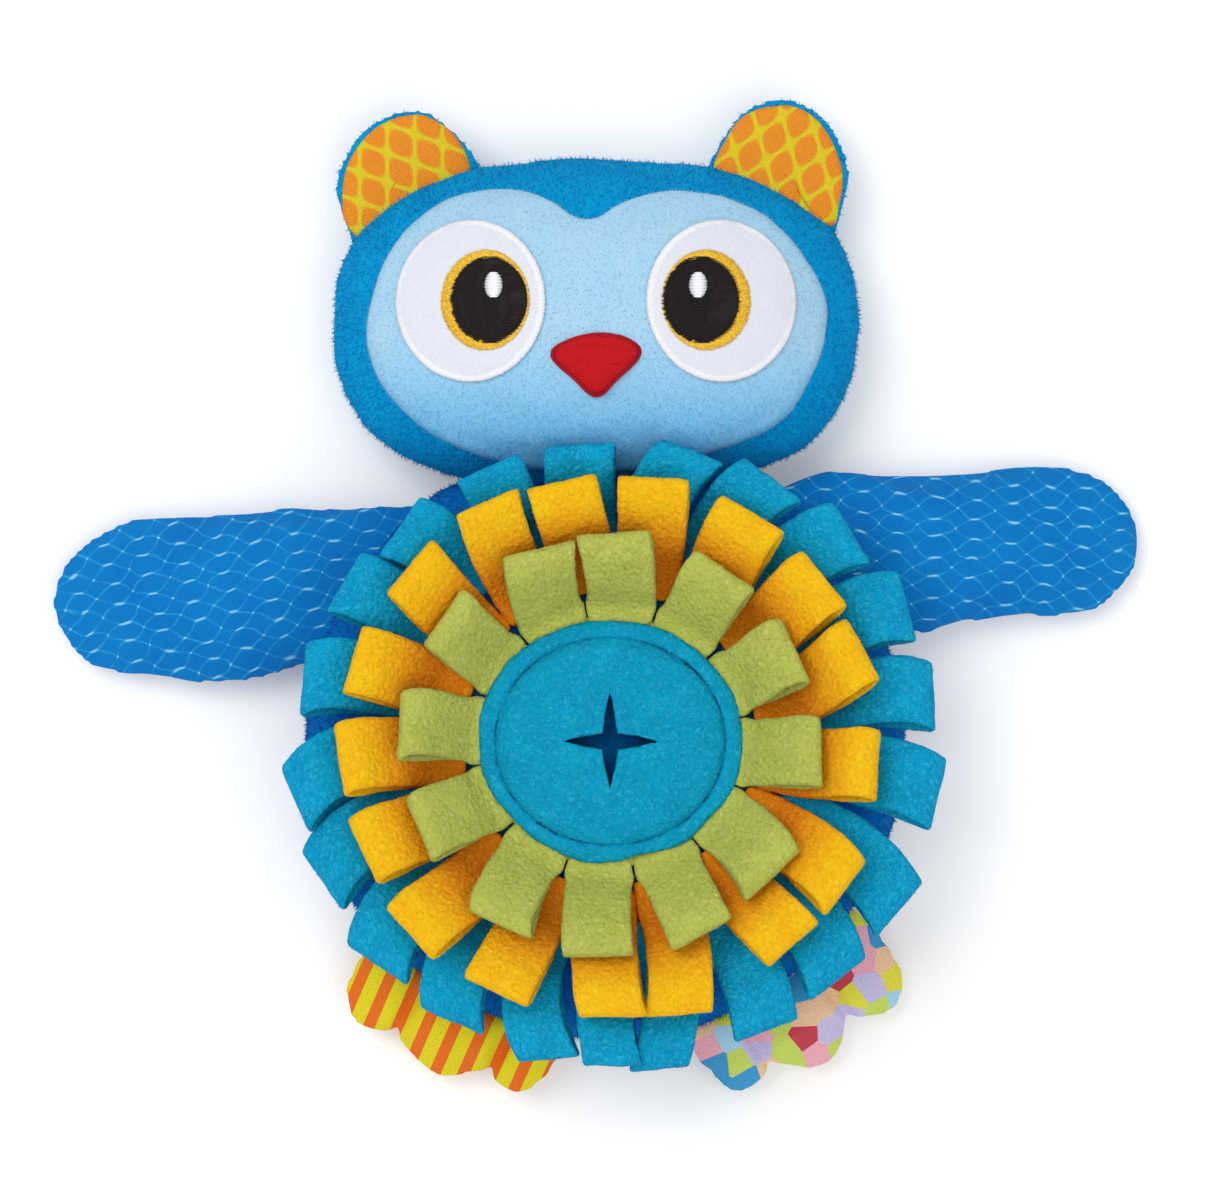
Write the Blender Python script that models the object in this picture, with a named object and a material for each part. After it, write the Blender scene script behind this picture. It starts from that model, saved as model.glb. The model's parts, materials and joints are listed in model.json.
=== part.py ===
# Plush snuffle toy, an owl that lies on its back. Metres, with +Z out of its front and +Y towards its head.
# The origin is under the middle of the treat pocket, on the flat of the body's back, so the floor is z = 0.

import math

import bmesh
import bpy
from mathutils import Vector

# How full forms are: powers of a share of the way to the seam
thin_edge_powers = (12, 0.5)

# Gaps that cloth pieces keep
seam_gap = 0.0005
flap_gap = 0.0008
layer_gap = 0.0003
hem_gap = 0.0006
floor_gap = 0.0004

# Body: a round cushion whose top is shaped to the chin
body_radius = 0.0845
body_middle_x = -0.0013
body_seam_height = 0.0160
body_crown = 0.0180
body_flat_cut = 0.0005
body_crown_powers = (10, 0.55)
body_back_powers = (3.4, 0.62)

# Head: a wide cushion with a squared oval outline
head_half_width = 0.0726
head_half_height = 0.0450
head_middle_x = -0.0039
head_chin_y = 0.0714
head_seam_height = 0.0180
head_crown = 0.0270
head_corner_power = 2.6
head_crown_powers = (2.6, 0.65)
head_back_powers = (2.6, 0.75)

# Face: thin sewn patches, each laid on the one below
patch_thickness = 0.0007
eye_offset_x = 0.0341
eye_offset_y = 0.0049
eye_half_width = 0.0201
eye_half_height = 0.0216
eye_thickness = 0.0006
iris_inset_x = 0.0040
iris_half_width = 0.0121
iris_half_height = 0.0136
iris_thickness = 0.0004
pupil_inset_x = 0.0055
pupil_half_width = 0.0104
pupil_half_height = 0.0114
pupil_thickness = 0.0004
glint_inset_x = 0.0065
glint_raise_y = 0.0040
glint_half_width = 0.0026
glint_half_height = 0.0035
glint_thickness = 0.0003
beak_drop_y = 0.0122
beak_half_width = 0.0116
beak_half_height = 0.0078
beak_thickness = 0.0022
patch_outline_shares = (
    (-0.04, 0.59), (-0.21, 0.74), (-0.39, 0.79), (-0.58, 0.71), (-0.77, 0.44), (-0.86, 0.00),
    (-0.83, -0.30), (-0.72, -0.54), (-0.53, -0.74), (-0.28, -0.86), (0.00, -0.89), (0.25, -0.86),
    (0.49, -0.75), (0.67, -0.62), (0.77, -0.45), (0.85, -0.15), (0.86, 0.16), (0.73, 0.50),
    (0.56, 0.70), (0.31, 0.78), (0.12, 0.71),
)
beak_outline_shares = (
    (-1.00, 0.30), (-0.90, 0.55), (-0.45, 0.84), (0.10, 0.97), (0.62, 0.86), (0.96, 0.58), (1.00, 0.32),
    (0.84, 0.00), (0.45, -0.50), (0.14, -0.96), (-0.12, -0.96), (-0.48, -0.46), (-0.86, 0.00),
)

# Ears: flat plush pieces sewn into the head's seam, with a printed lining on the front
ear_size = 0.0300
ear_crown = 0.0026
ear_depth = 0.0026
ear_fold_stand = 0.0025
ear_rim_width = 0.0022
ear_lining_thickness = 0.0006
ear_powers = (2.4, 0.7)
ear_places = (
    ("left", 139.5, 126.7, (155.5, 112.5), (
        (0.08, -0.98), (0.34, -0.89), (0.48, -0.78), (0.58, -0.55), (0.60, -0.28), (0.49, 0.05),
        (0.30, 0.29), (0.08, 0.46))),
    ("right", 47.4, 60.8, (25.5, 70.0), (
        (0.23, 0.81), (0.48, 0.71), (0.63, 0.55), (0.71, 0.40), (0.72, 0.17), (0.63, -0.08),
        (0.46, -0.31), (0.30, -0.43), (0.09, -0.54))),
)

# Wings: stuffed flaps of smooth cloth, sewn to the body's seam; they droop to the floor
wing_size = 0.0800
wing_root_height = 0.0145
wing_tip_height = 0.0046
wing_crown = 0.0088
wing_depth = 0.0058
wing_fold_stand = 0.0025
wing_reach_share = 0.95
wing_powers = (2.4, 0.65)
wing_places = (
    ("left", 140.0, (17.0, -17.0), (
        (0.06, -0.23), (0.21, 0.01), (0.48, 0.295), (0.68, 0.49), (0.75, 0.66), (0.745, 0.82),
        (0.63, 0.94), (0.45, 0.963), (0.25, 0.83), (0.14, 0.69), (0.03, 0.44))),
    ("right", 44.0, (-20.0, 14.0), (
        (0.04, -0.39), (0.17, -0.57), (0.35, -0.78), (0.50, -0.877), (0.68, -0.859), (0.78, -0.747),
        (0.80, -0.577), (0.69, -0.39), (0.50, -0.23), (0.25, 0.00), (0.05, 0.24))),
)

# Feet: short stuffed pads with rounded toes
foot_size = 0.0320
foot_root_height = 0.0150
foot_toe_height = 0.0088
foot_crown = 0.0078
foot_fold_stand = 0.0030
foot_drop_share = 0.60
foot_powers = (2, 0.85)
foot_places = (
    ("left", -119.0, (19.5, -19.5), (
        (0.10, -0.99), (0.32, -0.90), (0.45, -0.74), (0.43, -0.60), (0.31, -0.43), (0.41, -0.23),
        (0.50, 0.06), (0.49, 0.20), (0.40, 0.31), (0.25, 0.47), (0.25, 0.60), (0.31, 0.75),
        (0.29, 0.86), (0.07, 1.02))),
    ("right", -54.5, (20.0, -20.0), (
        (0.12, -0.97), (0.40, -0.89), (0.44, -0.76), (0.39, -0.62), (0.37, -0.45), (0.48, -0.34),
        (0.63, -0.20), (0.67, -0.03), (0.61, 0.13), (0.44, 0.28), (0.50, 0.50), (0.61, 0.68),
        (0.60, 0.82), (0.40, 0.95), (0.16, 0.98))),
)

# Flower: a fleece base, rings of folded loops on it and a round pocket lid with a crossed slit
base_radius = 0.0610
base_thickness = 0.0016
band_width = 0.0070
band_thickness = 0.0026
loop_wall = 0.0019
loop_width = 0.0185
loop_slit = 0.0010
loop_root_step = 0.0004
loop_root_depth = 0.0020
loop_pinch_share = 0.14
loop_profile_shares = (
    (0.34, 0.00), (0.78, 0.05), (1.00, 0.34), (0.95, 0.76), (0.68, 1.00), (0.32, 0.76),
)
loop_side_shares = ((-1, 0.93, 0.90), (0, 1.00, 1.00), (1, 0.93, 0.90))
loop_sway_shares = (0.00, 0.12, -0.08, 0.10, -0.12, 0.05, -0.05)
lid_half_width = 0.0360
lid_half_height = 0.0324
lid_thickness = 0.0020
lid_crown = 0.0040
slit_arm = 0.0140
slit_corner = 0.0050
blue_band_radius = 0.0618
blue_loop_reach = 0.0272
blue_loop_loft = 0.0090
blue_loop_count = 21
blue_first_degrees = 10.9
blue_rise_shares = (0.12, 0.32)
blue_reach_shares = (0.955, 0.09, -0.145, 0.07)
yellow_band_radius = 0.0500
yellow_loop_reach = 0.0245
yellow_loop_loft = 0.0100
yellow_loop_count = 17
yellow_first_degrees = 14.2
yellow_rise_shares = (0.56, 0.10)
green_band_radius = 0.0385
green_loop_reach = 0.0185
green_loop_loft = 0.0100
green_loop_count = 12
green_first_degrees = 25.3
green_rise_shares = (0.68, 0.08)
loop_sway_power = 1.5

body_middle = Vector((body_middle_x, 0, 0))
head_middle = Vector((head_middle_x, head_chin_y + head_half_height, 0))


def clear_scene():
    for thing in list(bpy.data.objects):
        bpy.data.objects.remove(thing)


def cloth_material(name, colour, roughness):
    material = bpy.data.materials.new(name)
    material.use_nodes = True
    shader = material.node_tree.nodes["Principled BSDF"]
    shader.inputs["Base Color"].default_value = (*colour, 1)
    shader.inputs["Roughness"].default_value = roughness
    shader.inputs["Metallic"].default_value = 0
    return material


def piece_from(mesh, name, colour, roughness=0.9, origin=Vector((0, 0, 0)), parent=None):
    """Makes the mesh, which is in world places, an object with its origin where it turns."""
    bmesh.ops.translate(mesh, verts=mesh.verts, vec=-origin)
    data = bpy.data.meshes.new(name)
    mesh.to_mesh(data)
    mesh.free()
    data.shade_smooth()
    data.materials.append(cloth_material(name, colour, roughness))
    piece = bpy.data.objects.new(name, data)
    bpy.context.scene.collection.objects.link(piece)
    piece.parent = parent
    piece.location = origin
    while parent:
        piece.location -= parent.location
        parent = parent.parent
    return piece


# Outlines. Each is a function from a share of one turn to a point.

def squared_oval(middle, half_width, half_height, power=2):
    def edge(turn):
        across, up = math.cos(math.tau * turn), math.sin(math.tau * turn)
        return middle + Vector((
            half_width * math.copysign(abs(across) ** (2 / power), across),
            half_height * math.copysign(abs(up) ** (2 / power), up),
            0,
        ))
    return edge


def curve_through(points):
    """A closed smooth curve through the points, run anticlockwise."""
    count = len(points)
    area = sum(points[i - 1].cross(points[i]).z for i in range(count))
    if area < 0:
        points = points[::-1]

    def edge(turn):
        first, share = divmod((turn % 1) * count, 1)
        a, b, c, d = (points[(int(first) + step) % count] for step in (-1, 0, 1, 2))
        bend = 2 * a - 5 * b + 4 * c - d
        swing = 3 * b - a - 3 * c + d
        return b + ((c - a) * share + bend * share ** 2 + swing * share ** 3) / 2
    return edge


def rise_of(spread, powers):
    """How high a stuffed form stands, as a share, at a share of the way from its middle to its seam."""
    return max(0, 1 - min(spread, 1) ** powers[0]) ** powers[1]


def stuffed_mesh(edge, middle, around, rows, place):
    """A closed form inside an outline. place takes a flat place, its spread and its face, +1 or -1."""
    mesh = bmesh.new()
    bmesh.ops.create_uvsphere(mesh, u_segments=around, v_segments=rows, radius=1)
    seam_row = 0.5 / rows
    for vertex in mesh.verts:
        spread = math.hypot(vertex.co.x, vertex.co.y)
        face = 0 if abs(vertex.co.z) < seam_row else math.copysign(1, vertex.co.z)
        turn = math.atan2(vertex.co.y, vertex.co.x) / math.tau
        vertex.co = place(middle.lerp(edge(turn), spread), spread, face)
    return mesh


# The head's outline and front surface, which the face patches, the ears and the body's top follow

head_edge = squared_oval(head_middle, head_half_width, head_half_height, head_corner_power)


def head_spread(point, grown=0):
    across = abs(point.x - head_middle.x) / (head_half_width + grown)
    up = abs(point.y - head_middle.y) / (head_half_height + grown)
    return (across ** head_corner_power + up ** head_corner_power) ** (1 / head_corner_power)


def on_head(flat, lift):
    """The point at a height of lift above the head's front, measured square to it."""
    def front(point):
        height = head_seam_height + head_crown * rise_of(head_spread(point), head_crown_powers)
        return Vector((point.x, point.y, height))
    step = head_half_height / 100
    across = front(flat + Vector((step, 0, 0))) - front(flat - Vector((step, 0, 0)))
    up = front(flat + Vector((0, step, 0))) - front(flat - Vector((0, step, 0)))
    return front(flat) + across.cross(up).normalized() * lift


def body_edge(turn):
    """The body's outline: a circle, stopped short of the chin."""
    toward = Vector((math.cos(math.tau * turn), math.sin(math.tau * turn), 0)) * body_radius
    if head_spread(body_middle + toward, seam_gap) >= 1:
        return body_middle + toward
    inside, outside = 0, 1
    for _ in range(40):
        share = (inside + outside) / 2
        if head_spread(body_middle + toward * share, seam_gap) >= 1:
            inside = share
        else:
            outside = share
    return body_middle + toward * inside


def body_spread(point):
    from_middle = Vector((point.x, point.y, 0)) - body_middle
    turn = math.atan2(from_middle.y, from_middle.x) / math.tau
    return from_middle.length / (body_edge(turn) - body_middle).length


def body_front(point):
    return body_seam_height + body_crown * rise_of(body_spread(point), body_crown_powers)


def base_front(point):
    return body_front(point) + layer_gap + base_thickness


def make_body():
    depth = body_seam_height + body_flat_cut

    def place(flat, spread, face):
        height = body_crown * rise_of(spread, body_crown_powers)
        if face < 0:
            height = depth * rise_of(spread, body_back_powers)
        return Vector((flat.x, flat.y, body_seam_height + face * height))
    mesh = stuffed_mesh(body_edge, body_middle, 60, 14, place)
    cut_flat(mesh)
    return piece_from(mesh, "body_cushion", (0.01, 0.11, 0.45))


def cut_flat(mesh):
    """Cuts the form flat where it stands on the floor."""
    everything = mesh.verts[:] + mesh.edges[:] + mesh.faces[:]
    cut = bmesh.ops.bisect_plane(
        mesh, geom=everything, plane_co=(0, 0, 0), plane_no=(0, 0, 1), clear_inner=True)
    rim = [item for item in cut["geom_cut"] if isinstance(item, bmesh.types.BMEdge)]
    bmesh.ops.contextual_create(mesh, geom=rim)


def make_head():
    depth = head_seam_height - floor_gap
    hinge = Vector((head_middle.x, head_chin_y - seam_gap / 2, (head_seam_height + body_seam_height) / 2))

    def place(flat, spread, face):
        height = head_crown * rise_of(spread, head_crown_powers)
        if face < 0:
            height = depth * rise_of(spread, head_back_powers)
        return Vector((flat.x, flat.y, head_seam_height + face * height))
    mesh = stuffed_mesh(head_edge, head_middle, 56, 12, place)
    return piece_from(mesh, "head", (0.0, 0.26, 0.60), origin=hinge)


def face_patch(name, edge, middle, lift, thickness, colour, roughness, head, around=32, rows=6):
    """A sewn patch on the head's front, with its underside at lift above the head."""
    def place(flat, spread, face):
        return on_head(flat, lift + thickness * (1 + face * rise_of(spread, thin_edge_powers)) / 2)
    mesh = stuffed_mesh(edge, middle, around, rows, place)
    return piece_from(mesh, name, colour, roughness, head.location, head)


def make_face(head):
    outline = [
        head_middle + Vector((x * head_half_width, y * head_half_height, 0))
        for x, y in patch_outline_shares
    ]
    patch_lift = 2 * layer_gap
    face_patch("face_patch", curve_through(outline), head_middle, patch_lift, patch_thickness,
               (0.36, 0.66, 0.86), 0.85, head, 2 * len(outline), 10)
    beak_middle = head_middle - Vector((0, beak_drop_y, 0))
    outline = [
        beak_middle + Vector((x * beak_half_width, y * beak_half_height, 0)) for x, y in beak_outline_shares
    ]
    eye_lift = patch_lift + patch_thickness + layer_gap
    face_patch("beak", curve_through(outline), beak_middle, eye_lift, beak_thickness,
               (0.60, 0.01, 0.02), 0.6, head, 2 * len(outline), 6)
    iris_lift = eye_lift + eye_thickness + layer_gap
    pupil_lift = iris_lift + iris_thickness + layer_gap
    glint_lift = pupil_lift + pupil_thickness + layer_gap
    layers = (
        ("eye_white", 0, 0, eye_half_width, eye_half_height, eye_lift, eye_thickness,
         (0.78, 0.79, 0.84), 28),
        ("iris", iris_inset_x, 0, iris_half_width, iris_half_height, iris_lift, iris_thickness,
         (0.87, 0.58, 0.03), 24),
        ("pupil", pupil_inset_x, 0, pupil_half_width, pupil_half_height, pupil_lift, pupil_thickness,
         (0.02, 0.01, 0.01), 24),
        ("glint", glint_inset_x, glint_raise_y, glint_half_width, glint_half_height, glint_lift,
         glint_thickness, (0.85, 0.86, 0.90), 12),
    )
    for side, sign in (("left", -1), ("right", 1)):
        for kind, inset, raised, half_width, half_height, lift, thickness, colour, around in layers:
            middle = head_middle + Vector((sign * (eye_offset_x - inset), eye_offset_y + raised, 0))
            edge = squared_oval(middle, half_width, half_height)
            face_patch(f"{kind}_{side}", edge, middle, lift, thickness, colour, 0.5, head, around)


class Root:
    """A frame at the place where a flap is sewn on, with x outward and y along the seam, to the left."""

    def __init__(self, start, degrees):
        self.start = start
        self.out = Vector((math.cos(math.radians(degrees)), math.sin(math.radians(degrees)), 0))
        self.along = Vector((-self.out.y, self.out.x, 0))

    def point(self, out, along):
        return self.start + self.out * out + self.along * along

    def distance(self, point):
        return (Vector((point.x, point.y, 0)) - self.start).dot(self.out)


def grown_from(edge, turn, gap):
    """The point of an outline at a turn, moved outwards by the gap."""
    step = 1 / 720
    run = (edge(turn + step) - edge(turn - step)).normalized()
    return edge(turn) + Vector((run.y, -run.x, 0)) * gap


def flap_outline(root, size, shares, carrier_edge, first_turn, last_turn):
    """The outline of a flap whose root follows the edge that carries it."""
    steps = 7
    hugging = [
        grown_from(carrier_edge, first_turn + (last_turn - first_turn) * step / (steps - 1), flap_gap)
        for step in range(steps)
    ]
    return hugging + [root.point(out * size, along * size) for out, along in shares]


def drooped(root, point, reach, root_height, end_height):
    """The height of a flap's seam, which comes down from where it is sewn on."""
    left = 1 - min(max(root.distance(point) / reach, 0), 1)
    return end_height + (root_height - end_height) * left ** 2


def middle_of(points):
    """The middle of the area inside an outline."""
    area, middle = 0, Vector((0, 0, 0))
    for before, after in zip(points, points[1:] + points[:1]):
        part = before.cross(after).z
        area += part
        middle += (before + after) * part / 3
    return middle / area


def make_ears(head):
    for side, turn, facing, (first, last), shares in ear_places:
        root = Root(grown_from(head_edge, turn / 360, flap_gap + ear_fold_stand), facing)
        hinge = root.start + Vector((0, 0, head_seam_height))
        outline = flap_outline(root, ear_size, shares, head_edge, first / 360, last / 360)
        edge = curve_through(outline)
        middle = middle_of(outline)

        def place(flat, spread, face):
            height = (ear_crown if face > 0 else ear_depth) * rise_of(spread, ear_powers)
            return Vector((flat.x, flat.y, head_seam_height + face * height))
        ear = piece_from(stuffed_mesh(edge, middle, 2 * len(outline), 6, place), f"ear_{side}",
                         (0.0, 0.20, 0.50), 0.9, hinge, head)
        inner = ear_size / (ear_size + 2 * ear_rim_width)
        lining_edge = curve_through([middle.lerp(point, inner) for point in outline])

        def place_lining(flat, spread, face):
            back = head_seam_height + layer_gap + ear_crown * rise_of(spread * inner, ear_powers)
            height = ear_lining_thickness * (1 + face * rise_of(spread, thin_edge_powers)) / 2
            return Vector((flat.x, flat.y, back + height + layer_gap))
        piece_from(stuffed_mesh(lining_edge, middle, 2 * len(outline), 6, place_lining),
                   f"ear_lining_{side}", (0.85, 0.50, 0.03), 0.8, hinge, ear)


def make_wings():
    for side, degrees, (first, last), shares in wing_places:
        root = Root(grown_from(body_edge, degrees / 360, flap_gap + wing_fold_stand), degrees)
        hinge = root.start + Vector((0, 0, wing_root_height))
        first_turn, last_turn = (degrees + first) / 360, (degrees + last) / 360
        outline = flap_outline(root, wing_size, shares, body_edge, first_turn, last_turn)

        def place(flat, spread, face):
            seam = drooped(root, flat, wing_size * wing_reach_share, wing_root_height, wing_tip_height)
            height = (wing_crown if face > 0 else wing_depth) * rise_of(spread, wing_powers)
            return Vector((flat.x, flat.y, seam + face * height))
        mesh = stuffed_mesh(curve_through(outline), middle_of(outline), 2 * len(outline), 8, place)
        piece_from(mesh, f"wing_{side}", (0.0, 0.20, 0.62), 0.6, hinge)


def make_feet():
    colours = {"left": (0.77, 0.66, 0.02), "right": (0.75, 0.25, 0.30)}
    depth = foot_toe_height - floor_gap
    for side, degrees, (first, last), shares in foot_places:
        root = Root(grown_from(body_edge, degrees / 360, flap_gap + foot_fold_stand), degrees)
        hinge = root.start + Vector((0, 0, foot_root_height))
        first_turn, last_turn = (degrees + first) / 360, (degrees + last) / 360
        outline = flap_outline(root, foot_size, shares, body_edge, first_turn, last_turn)

        def place(flat, spread, face):
            seam = drooped(root, flat, foot_size * foot_drop_share, foot_root_height, foot_toe_height)
            height = (foot_crown if face > 0 else depth) * rise_of(spread, foot_powers)
            return Vector((flat.x, flat.y, seam + face * height))
        mesh = stuffed_mesh(curve_through(outline), middle_of(outline), 2 * len(outline), 8, place)
        piece_from(mesh, f"foot_{side}", colours[side], 0.7, hinge)


# Flower

def make_base():
    edge = squared_oval(Vector((0, 0, 0)), base_radius, base_radius)

    def place(flat, spread, face):
        under = body_front(flat) + layer_gap
        share = (1 + face * rise_of(spread, thin_edge_powers)) / 2
        return Vector((flat.x, flat.y, under + base_thickness * share))
    mesh = stuffed_mesh(edge, Vector((0, 0, 0)), 40, 10, place)
    piece_from(mesh, "flower_base", (0.01, 0.16, 0.50))


def spun_ring(around, section):
    """A closed ring round the Z axis from a closed section of points (radius share, side)."""
    mesh = bmesh.new()
    corners = [mesh.verts.new((1 + share, 0, side)) for share, side in section]
    edges = [mesh.edges.new((corners[i - 1], corners[i])) for i in range(len(corners))]
    bmesh.ops.spin(mesh, geom=corners + edges, axis=(0, 0, 1), angle=math.tau, steps=around, use_merge=True)
    bmesh.ops.recalc_face_normals(mesh, faces=mesh.faces)
    return mesh


def make_band(radius, around):
    """The folded hem of one strip, which the loops rise from. It lies on the base."""
    mesh = spun_ring(around, ((0, 0), (1, 0), (1, 1), (0, 1)))
    for vertex in mesh.verts:
        toward = Vector((vertex.co.x, vertex.co.y, 0))
        share = toward.length - 1
        point = toward.normalized() * (radius - band_width * (1 - share))
        point.z = base_front(point) + hem_gap + vertex.co.z * band_thickness
        vertex.co = point
    return mesh


def loop_section(reach, loft):
    """The side view of a folded loop, as pairs of an outer and an inner point (along, up)."""
    root_height = band_thickness - 2 * loop_root_step
    outer = [Vector((-loop_root_depth, 0))]
    outer += [Vector((along * reach, up * loft)) for along, up in loop_profile_shares]
    outer += [Vector((-loop_root_depth, root_height))]
    pinch = loop_pinch_share * reach
    pairs = []
    for index, point in enumerate(outer):
        run = outer[(index + 1) % len(outer)] - outer[index - 1]
        inward = Vector((-run.y, run.x)).normalized() * loop_wall
        pairs.append((point, point + inward))
    share = (pinch + loop_root_depth) / (outer[-2].x + loop_root_depth)
    ceiling = root_height + (outer[-2].y - root_height) * share
    slope = (outer[-2].y - root_height) / (outer[-2].x + loop_root_depth)
    pairs[0] = (outer[0], Vector((pinch, loop_wall)))
    pairs[-1] = (outer[-1], Vector((pinch, ceiling - loop_wall * math.sqrt(1 + slope ** 2))))
    return pairs


def add_loop(mesh, section, degrees, sway, radius, pitch, reach_share, rise, base_height):
    """Adds one loop, an open-sided fold of the strip that leans outwards from its hem."""
    flat = bmesh.new()
    pairs = [[flat.verts.new((point.x, 0, point.y)) for point in pair] for pair in section]
    for before, after in zip(pairs, pairs[1:] + pairs[:1]):
        flat.faces.new((before[0], after[0], after[1], before[1]))
    layers = [flat.verts[:]]
    first_side = flat.faces[:]
    faces = first_side
    for _ in loop_side_shares[1:]:
        made = bmesh.ops.extrude_face_region(flat, geom=faces, use_keep_orig=True)["geom"]
        if faces is not first_side:
            bmesh.ops.delete(flat, geom=faces, context="FACES_ONLY")
        faces = [item for item in made if isinstance(item, bmesh.types.BMFace)]
        layers.append([item for item in made if isinstance(item, bmesh.types.BMVert)])
    most = section[len(section) // 2][0].x
    for (side, reach, loft), layer in zip(loop_side_shares, layers):
        for vertex in layer:
            along, up = vertex.co.x, vertex.co.z
            outward = max(along, 0) * reach * reach_share
            distance = radius + (outward if along > 0 else along)
            lean = math.radians(degrees) + sway * (max(along, 0) / most) ** loop_sway_power
            half = min(loop_width, distance * pitch - loop_slit) / 2
            toward = Vector((math.cos(lean), math.sin(lean), 0))
            point = toward * distance + Vector((-toward.y, toward.x, 0)) * side * half
            lofted = up * (1 if along < 0 else loft)
            point.z = base_height + loop_root_step + lofted + outward * rise
            vertex.co = point
    bmesh.ops.recalc_face_normals(flat, faces=flat.faces)
    data = bpy.data.meshes.new("loop")
    flat.to_mesh(data)
    flat.free()
    mesh.from_mesh(data)
    bpy.data.meshes.remove(data)


def make_loop_ring(name, count, first_degrees, radius, reach, loft, rise, reach_by, colour):
    """One strip of fleece: its hem and its loops, in one piece. rise and reach_by take an angle."""
    pitch = math.tau / count
    section = loop_section(reach, loft)
    loops = bmesh.new()
    for number in range(count):
        degrees = first_degrees + math.degrees(pitch) * number
        angle = math.radians(degrees)
        toward = Vector((math.cos(angle), math.sin(angle), 0))
        sway = loop_sway_shares[number % len(loop_sway_shares)] * pitch
        base_height = base_front(toward * radius) + hem_gap
        add_loop(loops, section, degrees, sway, radius, pitch, reach_by(angle), rise(angle), base_height)
    cutter = piece_from(loops, name + "_loops", colour)
    cutter.hide_render = True
    cutter.display_type = "WIRE"
    ring = piece_from(make_band(radius, 2 * count), name, colour)
    join = ring.modifiers.new("loops on the hem", "BOOLEAN")
    join.operation = "UNION"
    join.object = cutter
    return ring


def rise_towards_head(shares):
    """How steeply a loop at an angle rises, with the steeper ones towards the head."""
    return lambda angle: shares[0] + shares[1] * max(0, math.sin(angle)) ** 2


def blue_reach(angle):
    even, aside, upward, both_sides = blue_reach_shares
    return even + aside * math.cos(angle) + upward * math.sin(angle) + both_sides * math.cos(2 * angle)


def full_reach(angle):
    return 1


def make_flower():
    make_base()
    make_loop_ring(
        "blue_loop_ring", blue_loop_count, blue_first_degrees, blue_band_radius, blue_loop_reach,
        blue_loop_loft, rise_towards_head(blue_rise_shares), blue_reach, (0.0, 0.34, 0.58))
    make_loop_ring(
        "yellow_loop_ring", yellow_loop_count, yellow_first_degrees, yellow_band_radius, yellow_loop_reach,
        yellow_loop_loft, rise_towards_head(yellow_rise_shares), full_reach, (0.86, 0.42, 0.02))
    make_loop_ring(
        "green_loop_ring", green_loop_count, green_first_degrees, green_band_radius, green_loop_reach,
        green_loop_loft, rise_towards_head(green_rise_shares), full_reach, (0.40, 0.51, 0.11))
    make_lid()


def make_lid():
    """The round lid of the treat pocket, domed, with a crossed slit that gapes."""
    arms = 4
    per_side = 6
    around = arms * 2 * per_side
    mesh = spun_ring(around, ((0, 0), (0.5, 0), (1, 0), (1, 1), (0.5, 1), (0, 1)))
    for vertex in mesh.verts:
        toward = Vector((vertex.co.x, vertex.co.y, 0))
        share = toward.length - 1
        turn = (math.atan2(toward.y, toward.x) / math.tau) % 1
        side, along = divmod(turn * arms * 2, 1)
        corners = [
            (slit_arm if (int(side) + step) % 2 == 0 else slit_corner)
            * Vector((math.cos(math.tau * (side + step) / (2 * arms)),
                      math.sin(math.tau * (side + step) / (2 * arms)), 0))
            for step in (0, 1)
        ]
        rim = squared_oval(Vector((0, 0, 0)), lid_half_width, lid_half_height)(turn)
        point = corners[0].lerp(corners[1], along).lerp(rim, share)
        spread = math.hypot(point.x / lid_half_width, point.y / lid_half_height)
        under = base_front(point) + hem_gap + band_thickness + layer_gap
        dome = lid_crown * (1 - min(spread, 1) ** 2)
        point.z = under + dome + vertex.co.z * lid_thickness
        vertex.co = point
    piece_from(mesh, "pocket_lid", (0.0, 0.33, 0.62))


clear_scene()
make_body()
owl_head = make_head()
make_face(owl_head)
make_ears(owl_head)
make_wings()
make_feet()
make_flower()
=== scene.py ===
# An owl-shaped plush snuffle toy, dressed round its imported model. Metres, +Z out of its front, +Y to its head.

import json
import math
import random

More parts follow.
